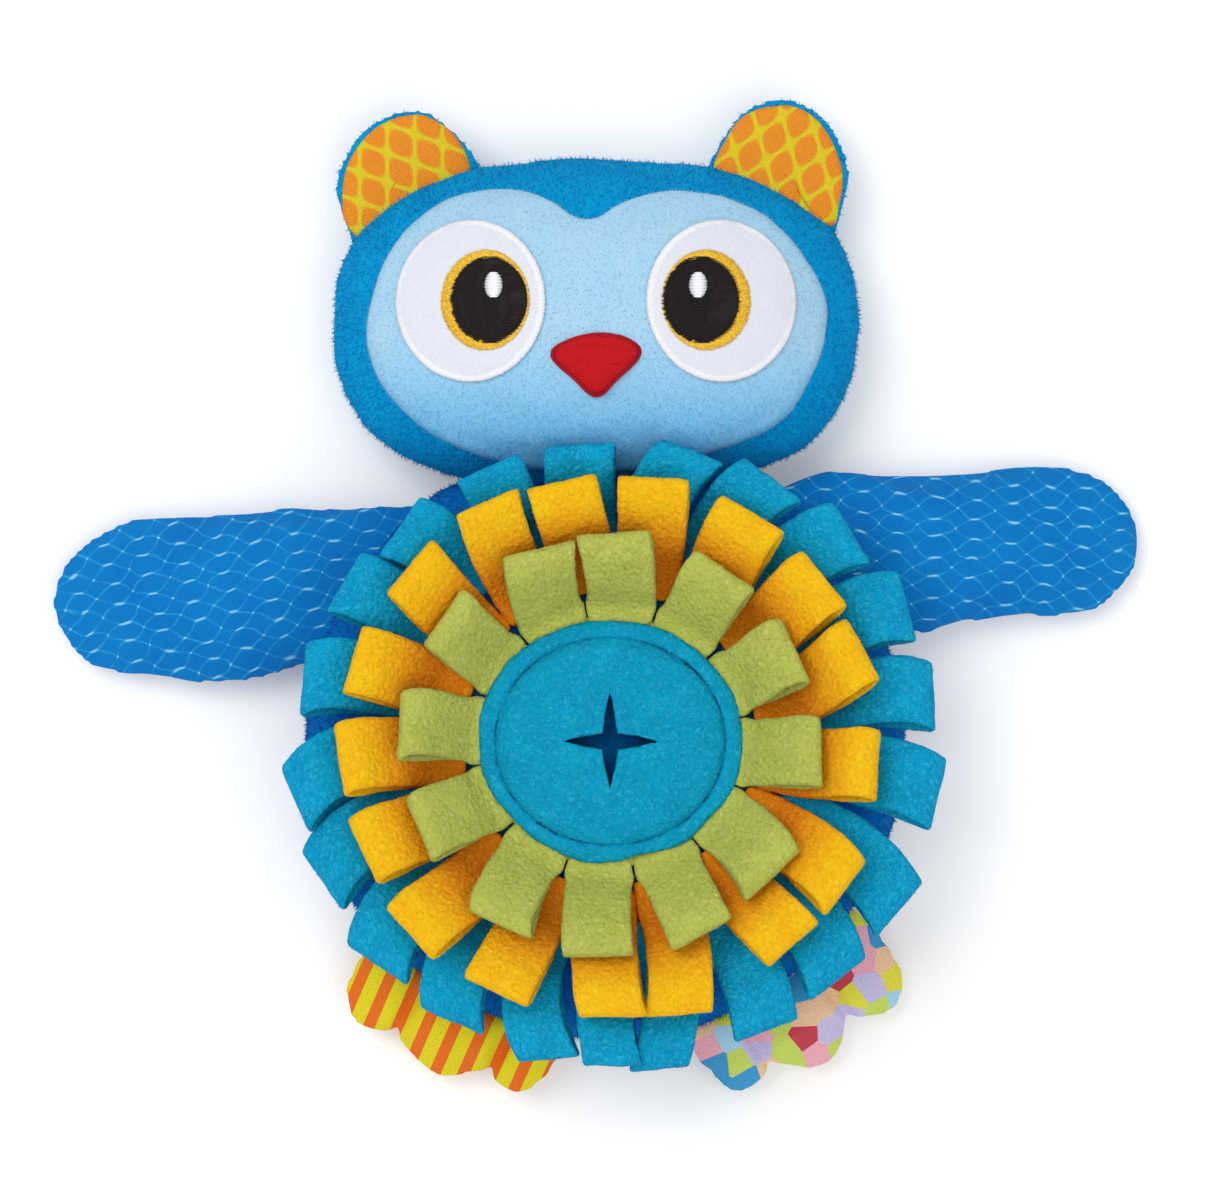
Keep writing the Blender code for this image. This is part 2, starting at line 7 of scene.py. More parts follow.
import bmesh
import bpy
from mathutils import Matrix, Vector, noise
from mathutils.bvhtree import BVHTree
from mathutils.kdtree import KDTree
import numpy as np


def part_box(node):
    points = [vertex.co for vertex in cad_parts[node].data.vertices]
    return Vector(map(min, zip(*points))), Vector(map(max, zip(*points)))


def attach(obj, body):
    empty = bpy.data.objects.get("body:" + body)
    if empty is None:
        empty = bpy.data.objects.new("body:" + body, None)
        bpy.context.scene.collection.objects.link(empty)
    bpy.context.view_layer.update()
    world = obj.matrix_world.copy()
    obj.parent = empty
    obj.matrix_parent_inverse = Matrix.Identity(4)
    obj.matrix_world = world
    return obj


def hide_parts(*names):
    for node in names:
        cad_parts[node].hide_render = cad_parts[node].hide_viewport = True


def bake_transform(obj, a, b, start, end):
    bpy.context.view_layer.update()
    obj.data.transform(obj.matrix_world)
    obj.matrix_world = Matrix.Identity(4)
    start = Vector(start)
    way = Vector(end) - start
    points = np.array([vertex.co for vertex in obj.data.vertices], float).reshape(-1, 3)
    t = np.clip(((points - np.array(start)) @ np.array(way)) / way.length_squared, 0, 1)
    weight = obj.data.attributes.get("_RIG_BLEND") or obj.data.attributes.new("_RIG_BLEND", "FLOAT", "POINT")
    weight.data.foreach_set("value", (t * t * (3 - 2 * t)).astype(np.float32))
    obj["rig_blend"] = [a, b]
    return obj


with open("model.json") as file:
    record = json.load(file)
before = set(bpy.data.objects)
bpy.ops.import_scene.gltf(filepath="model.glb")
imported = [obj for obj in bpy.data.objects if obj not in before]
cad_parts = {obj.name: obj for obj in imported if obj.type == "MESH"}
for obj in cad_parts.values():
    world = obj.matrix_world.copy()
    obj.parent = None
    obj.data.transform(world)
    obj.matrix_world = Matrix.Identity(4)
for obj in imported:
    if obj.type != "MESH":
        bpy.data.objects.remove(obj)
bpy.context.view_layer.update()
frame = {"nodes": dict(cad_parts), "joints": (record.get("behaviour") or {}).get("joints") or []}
mm = 0.001
luck = random.Random(7)


# Camera: the photograph's frame in pixels, and the size of one pixel on the toy
photo = {"wide": 1226, "middle": (613, 600), "origin": (610, 741), "pixel": 0.278 * mm}
cameraSetup = {"distance": 1.7, "tilt": 1.0, "height": 30 * mm, "sensor": 36.0}


def placeFromPixel(x, y):
    return Vector(((x - photo["origin"][0]) * photo["pixel"], (photo["origin"][1] - y) * photo["pixel"], 0))


def addCamera(setup):
    data = bpy.data.cameras.new("camera")
    data.sensor_width = setup["sensor"]
    data.lens = setup["sensor"] * setup["distance"] / (photo["wide"] * photo["pixel"])
    camera = bpy.data.objects.new("camera", data)
    bpy.context.scene.collection.objects.link(camera)
    tilt = math.radians(setup["tilt"])
    target = placeFromPixel(*photo["middle"]) + Vector((0, 0, setup["height"]))
    camera.location = target + Vector((0, -math.sin(tilt), math.cos(tilt))) * setup["distance"]
    camera.rotation_euler = (tilt, 0, 0)
    bpy.context.scene.camera = camera


# Shader tools

groups = {}


def feed(tree, socket, value):
    # links a socket to another node's, or sets its value
    if isinstance(value, bpy.types.NodeSocket):
        tree.links.new(value, socket)
    else:
        socket.default_value = value


def addNode(tree, kind, inputs=None, **settings):
    made = tree.nodes.new(kind)
    for name, value in settings.items():
        setattr(made, name, value)
    for name, value in (inputs or {}).items():
        feed(tree, made.inputs[name], value)
    return made


def addNoise(tree, place, scale, detail=2.0, **more):
    inputs = {"Vector": place, "Scale": scale, "Detail": detail, **more}
    return addNode(tree, "ShaderNodeTexNoise", inputs).outputs["Fac"]


def mixColours(tree, share, first, second):
    made = addNode(tree, "ShaderNodeMix", data_type="RGBA")
    for index, value in ((0, share), (6, first), (7, second)):
        feed(tree, made.inputs[index], (*value, 1) if isinstance(value, tuple) else value)
    return made.outputs[2]


def doMath(tree, operation, *values):
    return addNode(tree, "ShaderNodeMath", dict(enumerate(values)), operation=operation).outputs[0]


def scaled(tree, value, share):
    return doMath(tree, "MULTIPLY", value, share)


def remap(tree, value, low, high, start=0.0, end=1.0):
    return addNode(tree, "ShaderNodeMapRange", {
        "Value": value, "From Min": low, "From Max": high, "To Min": start, "To Max": end}).outputs[0]


def vectorMath(tree, operation, first, second):
    return addNode(tree, "ShaderNodeVectorMath", {0: first, 1: second}, operation=operation).outputs[0]


def apart(tree, vector):
    return addNode(tree, "ShaderNodeSeparateXYZ", {0: vector}).outputs


def newGroup(name, inputs, outputs):
    group = groups[name] = bpy.data.node_groups.new(name, "ShaderNodeTree")
    for label, kind, value in inputs:
        socket = group.interface.new_socket(name=label, in_out="INPUT", socket_type="NodeSocket" + kind)
        if value is not None:
            socket.default_value = value
    for label, kind in outputs:
        group.interface.new_socket(name=label, in_out="OUTPUT", socket_type="NodeSocket" + kind)
    return group, group.nodes.new("NodeGroupInput"), group.nodes.new("NodeGroupOutput")


napShape = {"detail": 4.0, "roughness": 0.65, "curling": 1.2, "tuftScale": 0.9, "broadScale": 0.16,
            "broadDetail": 3.0, "fleck": (0.47, 0.72), "tuft": (0.0, 0.75, 1.0, 0.0), "patch": (0.3, 0.7),
            "fineShare": 1.4, "tuftShare": 0.8}


def makeNapGroup(shape):
    # the curly nap of fleece: flecks of lighter fibre over a rough felted ground
    group, given, out = newGroup(
        "fleeceNap", [("Place", "Vector", None), ("Grain", "Float", 900.0)],
        [("Fleck", "Float"), ("Patch", "Float"), ("Height", "Float")])
    place, grain = given.outputs["Place"], given.outputs["Grain"]
    fine = addNoise(group, place, grain, shape["detail"], Roughness=shape["roughness"], Distortion=shape["curling"])
    curl = addNode(group, "ShaderNodeTexVoronoi", {
        "Vector": place, "Randomness": 1.0, "Scale": scaled(group, grain, shape["tuftScale"])}).outputs["Distance"]
    broad = addNoise(group, place, scaled(group, grain, shape["broadScale"]), shape["broadDetail"])
    tuft = remap(group, curl, *shape["tuft"])
    height = doMath(group, "ADD", scaled(group, fine, shape["fineShare"]), scaled(group, tuft, shape["tuftShare"]))
    for name, value in (("Fleck", remap(group, fine, *shape["fleck"])), ("Height", height),
                        ("Patch", remap(group, broad, *shape["patch"]))):
        feed(group, out.inputs[name], value)


pileShape = {"wander": 40.0, "shift": (12 * mm, 12 * mm, 12 * mm), "squeeze": (1.0, 0.4, 1.0), "detail": 3.0,
             "roughness": 0.6, "curling": 0.6, "streak": (0.3, 0.72), "patch": (0.33, 0.67)}


def makePileGroup(shape):
    # short pile that lies brushed: streaks along Y in wandering patches
    group, given, out = newGroup(
        "brushedPile", [("Place", "Vector", None), ("Grain", "Float", 700.0), ("Patch Size", "Float", 60.0)],
        [("Streak", "Float"), ("Patch", "Float"), ("Height", "Float")])
    place = given.outputs["Place"]
    drift = addNode(group, "ShaderNodeTexNoise", {"Vector": place, "Scale": shape["wander"], "Detail": 2.0})
    shift = vectorMath(group, "MULTIPLY", drift.outputs["Color"], shape["shift"])
    squeezed = vectorMath(group, "MULTIPLY", vectorMath(group, "ADD", place, shift), shape["squeeze"])
    streak = addNoise(group, squeezed, given.outputs["Grain"], shape["detail"], Roughness=shape["roughness"])
    patch = addNoise(group, squeezed, given.outputs["Patch Size"], shape["detail"], Distortion=shape["curling"])
    for name, value in (("Streak", remap(group, streak, *shape["streak"])), ("Height", streak),
                        ("Patch", remap(group, patch, *shape["patch"]))):
        feed(group, out.inputs[name], value)


weaveShape = {"fuzz": 1500.0, "relief": 0.5}


def makeWeaveGroup(shape):
    # a plain weave: threads over and under, at so many to a metre
    group, given, out = newGroup(
        "plainWeave", [("Place", "Vector", None), ("Threads", "Float", 1600.0)],
        [("Thread", "Float"), ("Height", "Float")])
    place = given.outputs["Place"]
    turn = scaled(group, given.outputs["Threads"], math.pi)
    crossed = scaled(group, *(doMath(group, "SINE", scaled(group, apart(group, place)[axis], turn))
                              for axis in (0, 1)))
    height = doMath(group, "ADD", scaled(group, crossed, shape["relief"]), addNoise(group, place, shape["fuzz"]))
    feed(group, out.inputs["Thread"], remap(group, crossed, -1.0, 1.0))
    feed(group, out.inputs["Height"], height)


def makeMaterial(name, look, cloth):
    # the cloth's own nodes give its colour and the height of its surface
    material = bpy.data.materials.new(name)
    material.use_nodes = True
    tree = material.node_tree
    shader = tree.nodes["Principled BSDF"]
    settings = {"Base Color": (*look["colour"], 1), "Roughness": look.get("roughness", 0.9),
                "Specular IOR Level": look.get("specular", 0.1), "Sheen Weight": 0.0}
    for socket, value in settings.items():
        shader.inputs[socket].default_value = value
    colour, height = cloth(tree, look)
    bump = addNode(tree, "ShaderNodeBump", {"Height": height, "Distance": look["depth"], "Strength": 1.0})
    feed(tree, shader.inputs["Normal"], bump.outputs[0])
    feed(tree, shader.inputs["Base Color"], colour)
    return material


def clothPlace(tree):
    return addNode(tree, "ShaderNodeAttribute", attribute_name="clothPlace").outputs["Vector"]


def useGroup(tree, name, **inputs):
    made = addNode(tree, "ShaderNodeGroup", node_tree=groups[name])
    for label, value in inputs.items():
        feed(tree, made.inputs[label.replace("_", " ")], value)
    return made.outputs


def fleeceCloth(tree, look):
    nap = useGroup(tree, "fleeceNap", Place=clothPlace(tree), Grain=look["grain"])
    colour = mixColours(tree, nap["Patch"], look["shade"], look["colour"])
    if "rootShadeColour" in look:
        # painted shade: the strip darkens towards its hem, where the loops shade each other's roots
        outward = addNode(tree, "ShaderNodeAttribute", attribute_name="outward").outputs["Fac"]
        colour = mixColours(tree, remap(tree, outward, *look["rootShadeReach"]), look["rootShadeColour"], colour)
    return mixColours(tree, scaled(tree, nap["Fleck"], look["fleckShare"]), colour, look["fleck"]), nap["Height"]


def plushCloth(tree, look):
    pile = useGroup(tree, "brushedPile", Place=clothPlace(tree), Grain=look["grain"], Patch_Size=look["patchSize"])
    colour = look["colour"]
    if "shadedChinColour" in look:
        # painted shade: paler at the top of the face than at its chin, as the light falls from above
        height = apart(tree, clothPlace(tree))[1]
        colour = mixColours(tree, remap(tree, height, *look["fade"]), look["shadedChinColour"], colour)
    colour = mixColours(tree, scaled(tree, pile["Patch"], look["patchShare"]), colour, look["brushed"])
    return mixColours(tree, scaled(tree, pile["Streak"], look["streakShare"]), colour, look["streak"]), pile["Height"]


def printed(tree, colour, look):
    # a print on plain weave
    weave = useGroup(tree, "plainWeave", Place=clothPlace(tree), Threads=look["threads"])
    share = scaled(tree, weave["Thread"], look["threadShare"])
    return mixColours(tree, share, colour, look["threadColour"]), weave["Height"]


netShape = {"driftScale": 120.0, "wobbleScale": 260.0, "groundScale": 70.0, "groundDetail": 3.0, "core": 0.25,
            "even": (0.35, 0.7), "faintest": 0.25}


def netPrint(tree, look):
    # thin pale lines that swing to and fro and meet, with brighter knots where they do
    place, shape = clothPlace(tree), netShape
    drift = addNode(tree, "ShaderNodeTexNoise", {"Vector": place, "Scale": shape["driftScale"], "Detail": 1.0})
    spread = addNode(tree, "ShaderNodeVectorMath", {0: drift.outputs["Color"], "Scale": look["drift"]},
                     operation="SCALE").outputs[0]
    parts = apart(tree, vectorMath(tree, "ADD", place, spread))
    along = doMath(tree, "DIVIDE", parts[0], look["cellLong"])
    across = doMath(tree, "DIVIDE", parts[1], look["cellWide"])
    swing = scaled(tree, doMath(tree, "COSINE", scaled(tree, along, math.tau)), look["swing"])
    lines = []
    for sign in (1, -1):
        row = doMath(tree, "FRACT", doMath(tree, "ADD", across, scaled(tree, swing, sign)))
        off = doMath(tree, "ABSOLUTE", doMath(tree, "SUBTRACT", row, 0.5))
        lines.append(remap(tree, off, look["lineShare"], look["lineShare"] * shape["core"]))
    wobble = addNoise(tree, place, shape["wobbleScale"])
    faded = scaled(tree, doMath(tree, "MAXIMUM", *lines), remap(tree, wobble, *shape["even"], shape["faintest"], 1.0))
    ground = remap(tree, addNoise(tree, place, shape["groundScale"], shape["groundDetail"]), *shape["even"])
    colour = mixColours(tree, ground, look["colour"], look["shade"])
    colour = mixColours(tree, scaled(tree, faded, look["lineStrength"]), colour, look["line"])
    colour = mixColours(tree, scaled(tree, *lines), colour, look["knot"])
    return printed(tree, colour, look)


def lozengePrint(tree, look):
    # rounded lozenges in staggered rows, a common filler pattern
    place = clothPlace(tree)
    waves = []
    for axis, size in ((0, look["cellWide"]), (1, look["cellLong"])):
        turned = scaled(tree, doMath(tree, "DIVIDE", apart(tree, place)[axis], size), math.tau)
        waves.append(doMath(tree, "COSINE", turned))
    checks = doMath(tree, "ABSOLUTE", scaled(tree, doMath(tree, "ADD", *waves), 0.5))
    inner = mixColours(tree, addNoise(tree, place, look["stainScale"]), look["motif"], look["motifShade"])
    mask = remap(tree, checks, look["edge"] - look["soft"], look["edge"] + look["soft"])
    return printed(tree, mixColours(tree, mask, look["colour"], inner), look)


def stripedPrint(tree, look):
    turned = scaled(tree, doMath(tree, "DIVIDE", apart(tree, clothPlace(tree))[0], look["period"]), math.tau)
    mask = remap(tree, doMath(tree, "SINE", turned), look["edge"] - look["soft"], look["edge"] + look["soft"])
    return printed(tree, mixColours(tree, mask, look["colour"], look["motif"]), look)


def patchworkPrint(tree, look):
    # a honeycomb of patches, each of one colour by chance
    cells = addNode(tree, "ShaderNodeTexVoronoi", {
        "Vector": clothPlace(tree), "Scale": 1 / look["period"], "Randomness": look["scatter"]},
        voronoi_dimensions="2D")
    chance = addNode(tree, "ShaderNodeSeparateColor", {"Color": cells.outputs["Color"]}).outputs[0]
    ramp = tree.nodes.new("ShaderNodeValToRGB")
    ramp.color_ramp.interpolation = "CONSTANT"
    stops = ramp.color_ramp.elements
    while len(stops) < len(look["patches"]):
        stops.new(0.5)
    for index, patch in enumerate(look["patches"]):
        stops[index].position = index / len(look["patches"])
        stops[index].color = (*patch, 1)
    tree.links.new(chance, ramp.inputs[0])
    return printed(tree, ramp.outputs[0], look)


yarnShape = {"grain": 1800.0, "even": (0.35, 0.65)}


def threadCloth(tree, look):
    grain = addNoise(tree, clothPlace(tree), yarnShape["grain"])
    return mixColours(tree, remap(tree, grain, *yarnShape["even"]), look["colour"], look["shade"]), grain


# Mesh tools

sameSpot = 0.01 * mm  # vertices this close are one
nearlyFlat = 0.7  # two triangles that meet within this angle are one quad


def newPiece(name, mesh, material):
    data = bpy.data.meshes.new(name)
    mesh.to_mesh(data)
    mesh.free()
    data.shade_smooth()
    data.materials.append(material)
    piece = bpy.data.objects.new(name, data)
    bpy.context.scene.collection.objects.link(piece)
    return piece


def settle(piece):
    # puts what the modifiers make into the mesh
    depsgraph = bpy.context.evaluated_depsgraph_get()
    made = bpy.data.meshes.new_from_object(
        piece.evaluated_get(depsgraph), preserve_all_data_layers=True, depsgraph=depsgraph)
    piece.modifiers.clear()
    old = piece.data
    piece.data = made
    bpy.data.meshes.remove(old)
    made.name = piece.name
    made.shade_smooth()


def subdivide(piece, levels):
    if levels:
        rounded = piece.modifiers.new("subdivision", "SUBSURF")
        rounded.levels = rounded.render_levels = levels
        settle(piece)


def rememberPlace(piece, origin=Vector((0, 0, 0)), degrees=0.0):
    # keeps where each point of the cloth lies at rest, so that prints and naps stay on it when it bends
    turned = math.radians(-degrees)
    ahead = Vector((math.cos(turned), math.sin(turned), 0))
    side = Vector((-ahead.y, ahead.x, 0))
    data = piece.data
    attribute = data.attributes.get("clothPlace") or data.attributes.new("clothPlace", "FLOAT_VECTOR", "POINT")
    values = []
    for vertex in data.vertices:
        away = vertex.co - origin
        values += (away.x * ahead.x - away.y * ahead.y, away.x * ahead.y + away.y * ahead.x, away.z)
    attribute.data.foreach_set("vector", values)


def roughen(piece, layers):
    # lumps of the nap and the filling, in real sizes: (spacing, height)
    data = piece.data
    normals = [vertex.normal.copy() for vertex in data.vertices]
    for vertex, normal in zip(data.vertices, normals):
        vertex.co += normal * sum(noise.noise(vertex.co / spacing) * height for spacing, height in layers)
    data.update()


def soften(piece, times):
    mesh = bmesh.new()
    mesh.from_mesh(piece.data)
    for _ in range(times):
        bmesh.ops.smooth_vert(mesh, verts=mesh.verts, factor=0.5, use_axis_x=True, use_axis_y=True, use_axis_z=True)
    mesh.to_mesh(piece.data)
    mesh.free()


def copyOfNode(node, name, material):
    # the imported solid, made a smooth quad-based mesh
    mesh = bmesh.new()
    mesh.from_mesh(frame["nodes"][node].data)
    bmesh.ops.remove_doubles(mesh, verts=mesh.verts, dist=sameSpot)
    bmesh.ops.join_triangles(mesh, faces=mesh.faces, angle_face_threshold=nearlyFlat,
                              angle_shape_threshold=nearlyFlat)
    bmesh.ops.recalc_face_normals(mesh, faces=mesh.faces)
    return newPiece(name, mesh, material)


def remesh(piece, voxel):
    fine = piece.modifiers.new("remesh", "REMESH")
    fine.mode = "VOXEL"
    fine.voxel_size = voxel
    settle(piece)


pump = {"steps": 20, "quality": 6, "stiffness": 12}


def inflate(piece, look, pinned=None):
    # blows the cover up a little over its filling, so that it swells between its seams
    before = [vertex.co.copy() for vertex in piece.data.vertices]
    cloth = piece.modifiers.new("cloth", "CLOTH")
    settings = cloth.settings
    settings.use_pressure = True
    settings.uniform_pressure_force = look["pressure"]
    settings.effector_weights.gravity = 0
    settings.quality = pump["quality"]
    settings.tension_stiffness = settings.compression_stiffness = pump["stiffness"]
    cloth.collision_settings.use_collision = False
    if pinned:
        group = piece.vertex_groups.new(name="pinned")
        group.add([i for i, place in enumerate(before) if pinned(place)], 1, "REPLACE")
        settings.vertex_group_mass = "pinned"
    for step in range(1, pump["steps"] + 1):
        bpy.context.scene.frame_set(step)
    shape = piece.evaluated_get(bpy.context.evaluated_depsgraph_get()).data
    moved = [vertex.co.copy() for vertex in shape.vertices]
    piece.modifiers.clear()
    piece.vertex_groups.clear()
    for vertex, old, new in zip(piece.data.vertices, before, moved):
        move = new - old
        if move.length > look["cap"]:
            move *= look["cap"] / move.length
        vertex.co = old + move
    bpy.context.scene.frame_set(1)
    piece.data.update()


def treeOf(piece):
    mesh = bmesh.new()
    mesh.from_mesh(piece.data)
    tree = BVHTree.FromBMesh(mesh)
    mesh.free()
    return tree


def dropOnto(tree, place):
    # a surface's point under a flat place, and the way it faces
    return tree.ray_cast(Vector((place.x, place.y, 1)), Vector((0, 0, -1)))[:2]


def overOrNear(tree, place, height):
    # the same, or the nearest point of its edge where the place lies outside it
    hit, normal = dropOnto(tree, place)
    if hit is None:
        hit, normal = tree.find_nearest(Vector((place.x, place.y, height)))[:2]
    return hit, normal


def bentBetween(a, b, c, d, share):
    # a point between b and c on the smooth curve through all four
    bend = 2 * a - 5 * b + 4 * c - d
    swing = 3 * b - a - 3 * c + d
    return b + ((c - a) * share + bend * share ** 2 + swing * share ** 3) / 2


def curveThrough(points):
    # a closed smooth curve through the points, as a function of a share of one turn
    if sum(points[i - 1].cross(points[i]).z for i in range(len(points))) < 0:
        points = points[::-1]

    def edge(turn):
        first, share = divmod((turn % 1) * len(points), 1)
        return bentBetween(*(points[(int(first) + step) % len(points)] for step in (-1, 0, 1, 2)), share)
    return edge


def patchGrid(edge, middle, cells):
    # a flat grid of quads pulled out to an outline; each vertex's z holds its spread from the middle
    mesh = bmesh.new()
    bmesh.ops.create_grid(mesh, x_segments=cells, y_segments=cells, size=1)
    for vertex in mesh.verts:
        u, v = vertex.co.x, vertex.co.y
        x, y = u * math.sqrt(1 - v * v / 2), v * math.sqrt(1 - u * u / 2)
        spread = min(math.hypot(x, y), 1)
        place = middle.lerp(edge(math.atan2(y, x) / math.tau), spread)
        vertex.co = Vector((place.x, place.y, spread))
    return mesh


def thicken(piece, thickness, offset):
    wall = piece.modifiers.new("wall", "SOLIDIFY")
    wall.thickness = thickness
    wall.offset = offset
    settle(piece)


tuckStart = 0.94


def layPatch(name, edge, middle, below, material, look):
    # a thin sewn patch that lies on the surface below, with its edge tucked down into a seam
    mesh = patchGrid(edge, middle, look["cells"])
    height = dropOnto(below, middle)[0].z
    for vertex in mesh.verts:
        spread = vertex.co.z
        hit, normal = overOrNear(below, vertex.co, height)
        tucked = max(0, (spread - tuckStart) / (1 - tuckStart)) ** 2
        vertex.co = hit + normal * (look["lift"] + look["puff"] * (1 - spread ** 4) - look["tuck"] * tucked)
    piece = newPiece(name, mesh, material)
    thicken(piece, look["thickness"], 1)
    return piece


def makeThreadShape():
    # one stitch, a slender closed capsule along Z
    mesh = bmesh.new()
    bmesh.ops.create_uvsphere(mesh, u_segments=6, v_segments=5, radius=0.5)
    data = bpy.data.meshes.new("stitch")
    mesh.to_mesh(data)
    mesh.free()
    return data


threadShape = makeThreadShape()


def sew(name, mesh, cloth):
    # stitches as a piece of their own
    piece = newPiece(name, mesh, materials[cloth])
    rememberPlace(piece)
    return piece


def dress(piece, node=None, carrier=None):
    # hides the imported solid that a piece stands for, and hangs the piece on the body it rides on if it doesn't bend
    if node:
        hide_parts(node)
    if carrier:
        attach(piece, carrier)


def cutFrom(node, share):
    # reads the box of an imported solid, and makes nothing from it
    low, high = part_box(node)


def addThread(mesh, start, end, thick, lift):
    run = end - start
    turned = run.to_track_quat("Z", "Y").to_matrix() @ Matrix.Diagonal((thick, thick, run.length))
    placed = threadShape.copy()
    placed.transform(Matrix.Translation((start + end) / 2 + Vector((0, 0, lift))) @ turned.to_4x4())
    mesh.from_mesh(placed)
    bpy.data.meshes.remove(placed)


addCamera(cameraSetup)
print("camera placed")
makeNapGroup(napShape)
makePileGroup(pileShape)
makeWeaveGroup(weaveShape)


# Finishes: colours are written as light sees them, each with the shade it takes in its hollows

plush = {"patchShare": 0.7, "streakShare": 0.35, "grain": 900.0, "patchSize": 90.0}
fleece = {"fleckShare": 0.6, "grain": 850.0, "depth": 0.5 * mm}
weave = {"threads": 2200.0, "threadShare": 0.12, "depth": 0.25 * mm, "roughness": 0.65}
thread = {"depth": 0.05 * mm, "roughness": 0.45}
finishes = {
    "headPlush": {**plush, "colour": (0.0, 0.30, 0.64), "brushed": (0.0, 0.215, 0.53), "streak": (0.0, 0.40, 0.76),
                  "depth": 0.7 * mm},
    "bodyPlush": {**plush, "colour": (0.0, 0.145, 0.50), "brushed": (0.0, 0.10, 0.41), "streak": (0.0, 0.20, 0.6),
                  "depth": 0.8 * mm},
    # the face's chin colour and its fade are painted shade
    "faceMinky": {"colour": (0.38, 0.62, 0.79), "shadedChinColour": (0.05, 0.42, 0.76), "fade": (0.080, 0.112),
                  "brushed": (0.27, 0.55, 0.82), "streak": (0.46, 0.70, 0.89), "patchShare": 0.35,
                  "streakShare": 0.25, "grain": 1000.0, "patchSize": 130.0, "depth": 0.25 * mm},
    "blueFleece": {**fleece, "colour": (0.0, 0.36, 0.63), "shade": (0.0, 0.28, 0.54), "fleck": (0.05, 0.58, 0.80)},
    # the yellow's root colour and its reach are painted shade, darker towards the hem where the loops crowd
    "yellowFleece": {**fleece, "colour": (0.96, 0.56, 0.008), "shade": (0.94, 0.48, 0.006),
                     "fleck": (0.97, 0.66, 0.04), "fleckShare": 0.5, "rootShadeColour": (0.86, 0.22, 0.006),
                     "rootShadeReach": (0.2, 0.72)},
    "greenFleece": {**fleece, "colour": (0.50, 0.545, 0.105), "shade": (0.43, 0.48, 0.08),
                    "fleck": (0.64, 0.68, 0.21)},
    "lidFleece": {**fleece, "colour": (0.0, 0.35, 0.58), "shade": (0.0, 0.28, 0.50), "fleck": (0.04, 0.50, 0.72)},
    "baseFleece": {**fleece, "colour": (0.0, 0.15, 0.45), "shade": (0.0, 0.10, 0.36), "fleck": (0.0, 0.2, 0.5),
                   "fleckShare": 0.5, "depth": 0.9 * mm},
    "wingPrint": {**weave, "colour": (0.0, 0.165, 0.53), "shade": (0.0, 0.20, 0.57), "line": (0.03, 0.42, 0.76),
                  "knot": (0.26, 0.64, 0.86), "cellLong": 21.0 * mm, "cellWide": 5.6 * mm, "swing": 0.5,
                  "lineShare": 0.09, "lineStrength": 0.6, "drift": 4 * mm, "threads": 2400.0,
                  "threadColour": (0.0, 0.23, 0.62), "depth": 0.15 * mm, "roughness": 0.62},
    "earPrint": {**weave, "colour": (0.78, 0.62, 0.02), "motif": (0.90, 0.31, 0.02), "motifShade": (0.84, 0.22, 0.02),
                 "cellWide": 9.4 * mm, "cellLong": 13.5 * mm, "edge": 0.20, "soft": 0.12, "stainScale": 160.0,
                 "threadShare": 0.15, "threadColour": (0.9, 0.7, 0.1), "depth": 0.3 * mm, "roughness": 0.85},
    "stripePrint": {**weave, "colour": (0.80, 0.68, 0.012), "motif": (0.84, 0.13, 0.01), "period": 7.4 * mm,
                    "edge": 0.16, "soft": 0.06, "threadColour": (0.88, 0.76, 0.1)},
    "patchPrint": {**weave, "colour": (0.8, 0.3, 0.3), "period": 7.0 * mm, "scatter": 0.5, "threadShare": 0.10,
                   "threadColour": (0.9, 0.85, 0.8), "patches": (
                       (0.60, 0.02, 0.05), (0.62, 0.55, 0.84), (0.40, 0.68, 0.88), (0.60, 0.74, 0.10),
                       (0.95, 0.60, 0.34), (0.93, 0.42, 0.52), (0.01, 0.32, 0.66), (0.82, 0.76, 0.03))},
    "eyeSatin": {"colour": (0.73, 0.745, 0.82), "shade": (0.67, 0.69, 0.78), "depth": 0.1 * mm, "roughness": 0.5,
                 "specular": 0.3},
    "whiteThread": {**thread, "colour": (0.90, 0.90, 0.93), "shade": (0.84, 0.84, 0.88), "specular": 0.4},
    "yellowThread": {**thread, "colour": (0.90, 0.62, 0.04), "shade": (0.66, 0.34, 0.015), "specular": 0.4},
    "blackThread": {**thread, "colour": (0.014, 0.010, 0.010), "shade": (0.008, 0.006, 0.007), "roughness": 0.6,
                    "specular": 0.2},
    "redFelt": {"colour": (0.52, 0.010, 0.014), "shade": (0.46, 0.006, 0.010), "depth": 0.15 * mm, "roughness": 0.8},
    "redThread": {**thread, "colour": (0.14, 0.006, 0.022), "shade": (0.09, 0.004, 0.018), "roughness": 0.5},
    "seamThread": {**thread, "colour": (0.0, 0.25, 0.44), "shade": (0.0, 0.20, 0.38), "roughness": 0.6},
}
kinds = {"Plush": plushCloth, "Minky": plushCloth, "Fleece": fleeceCloth, "Satin": threadCloth, "Felt": threadCloth,
         "Thread": threadCloth, "wingPrint": netPrint, "earPrint": lozengePrint, "stripePrint": stripedPrint,
         "patchPrint": patchworkPrint}
materials = {}
for name, look in finishes.items():
    materials[name] = makeMaterial(name, look, next(cloth for kind, cloth in kinds.items() if name.endswith(kind)))
print("materials made")


# Stuffed pieces

def drawSeam(piece, look):
    # the seam between front and back lies where the cover faces sideways, and stands out
    normals = [vertex.normal.copy() for vertex in piece.data.vertices]
    for vertex, normal in zip(piece.data.vertices, normals):
        share = max(0, 1 - abs(normal.z) / look["seamWidth"])
        vertex.co += Vector((normal.x, normal.y, 0)) * look["seamOut"] * share
    soften(piece, look["eased"])


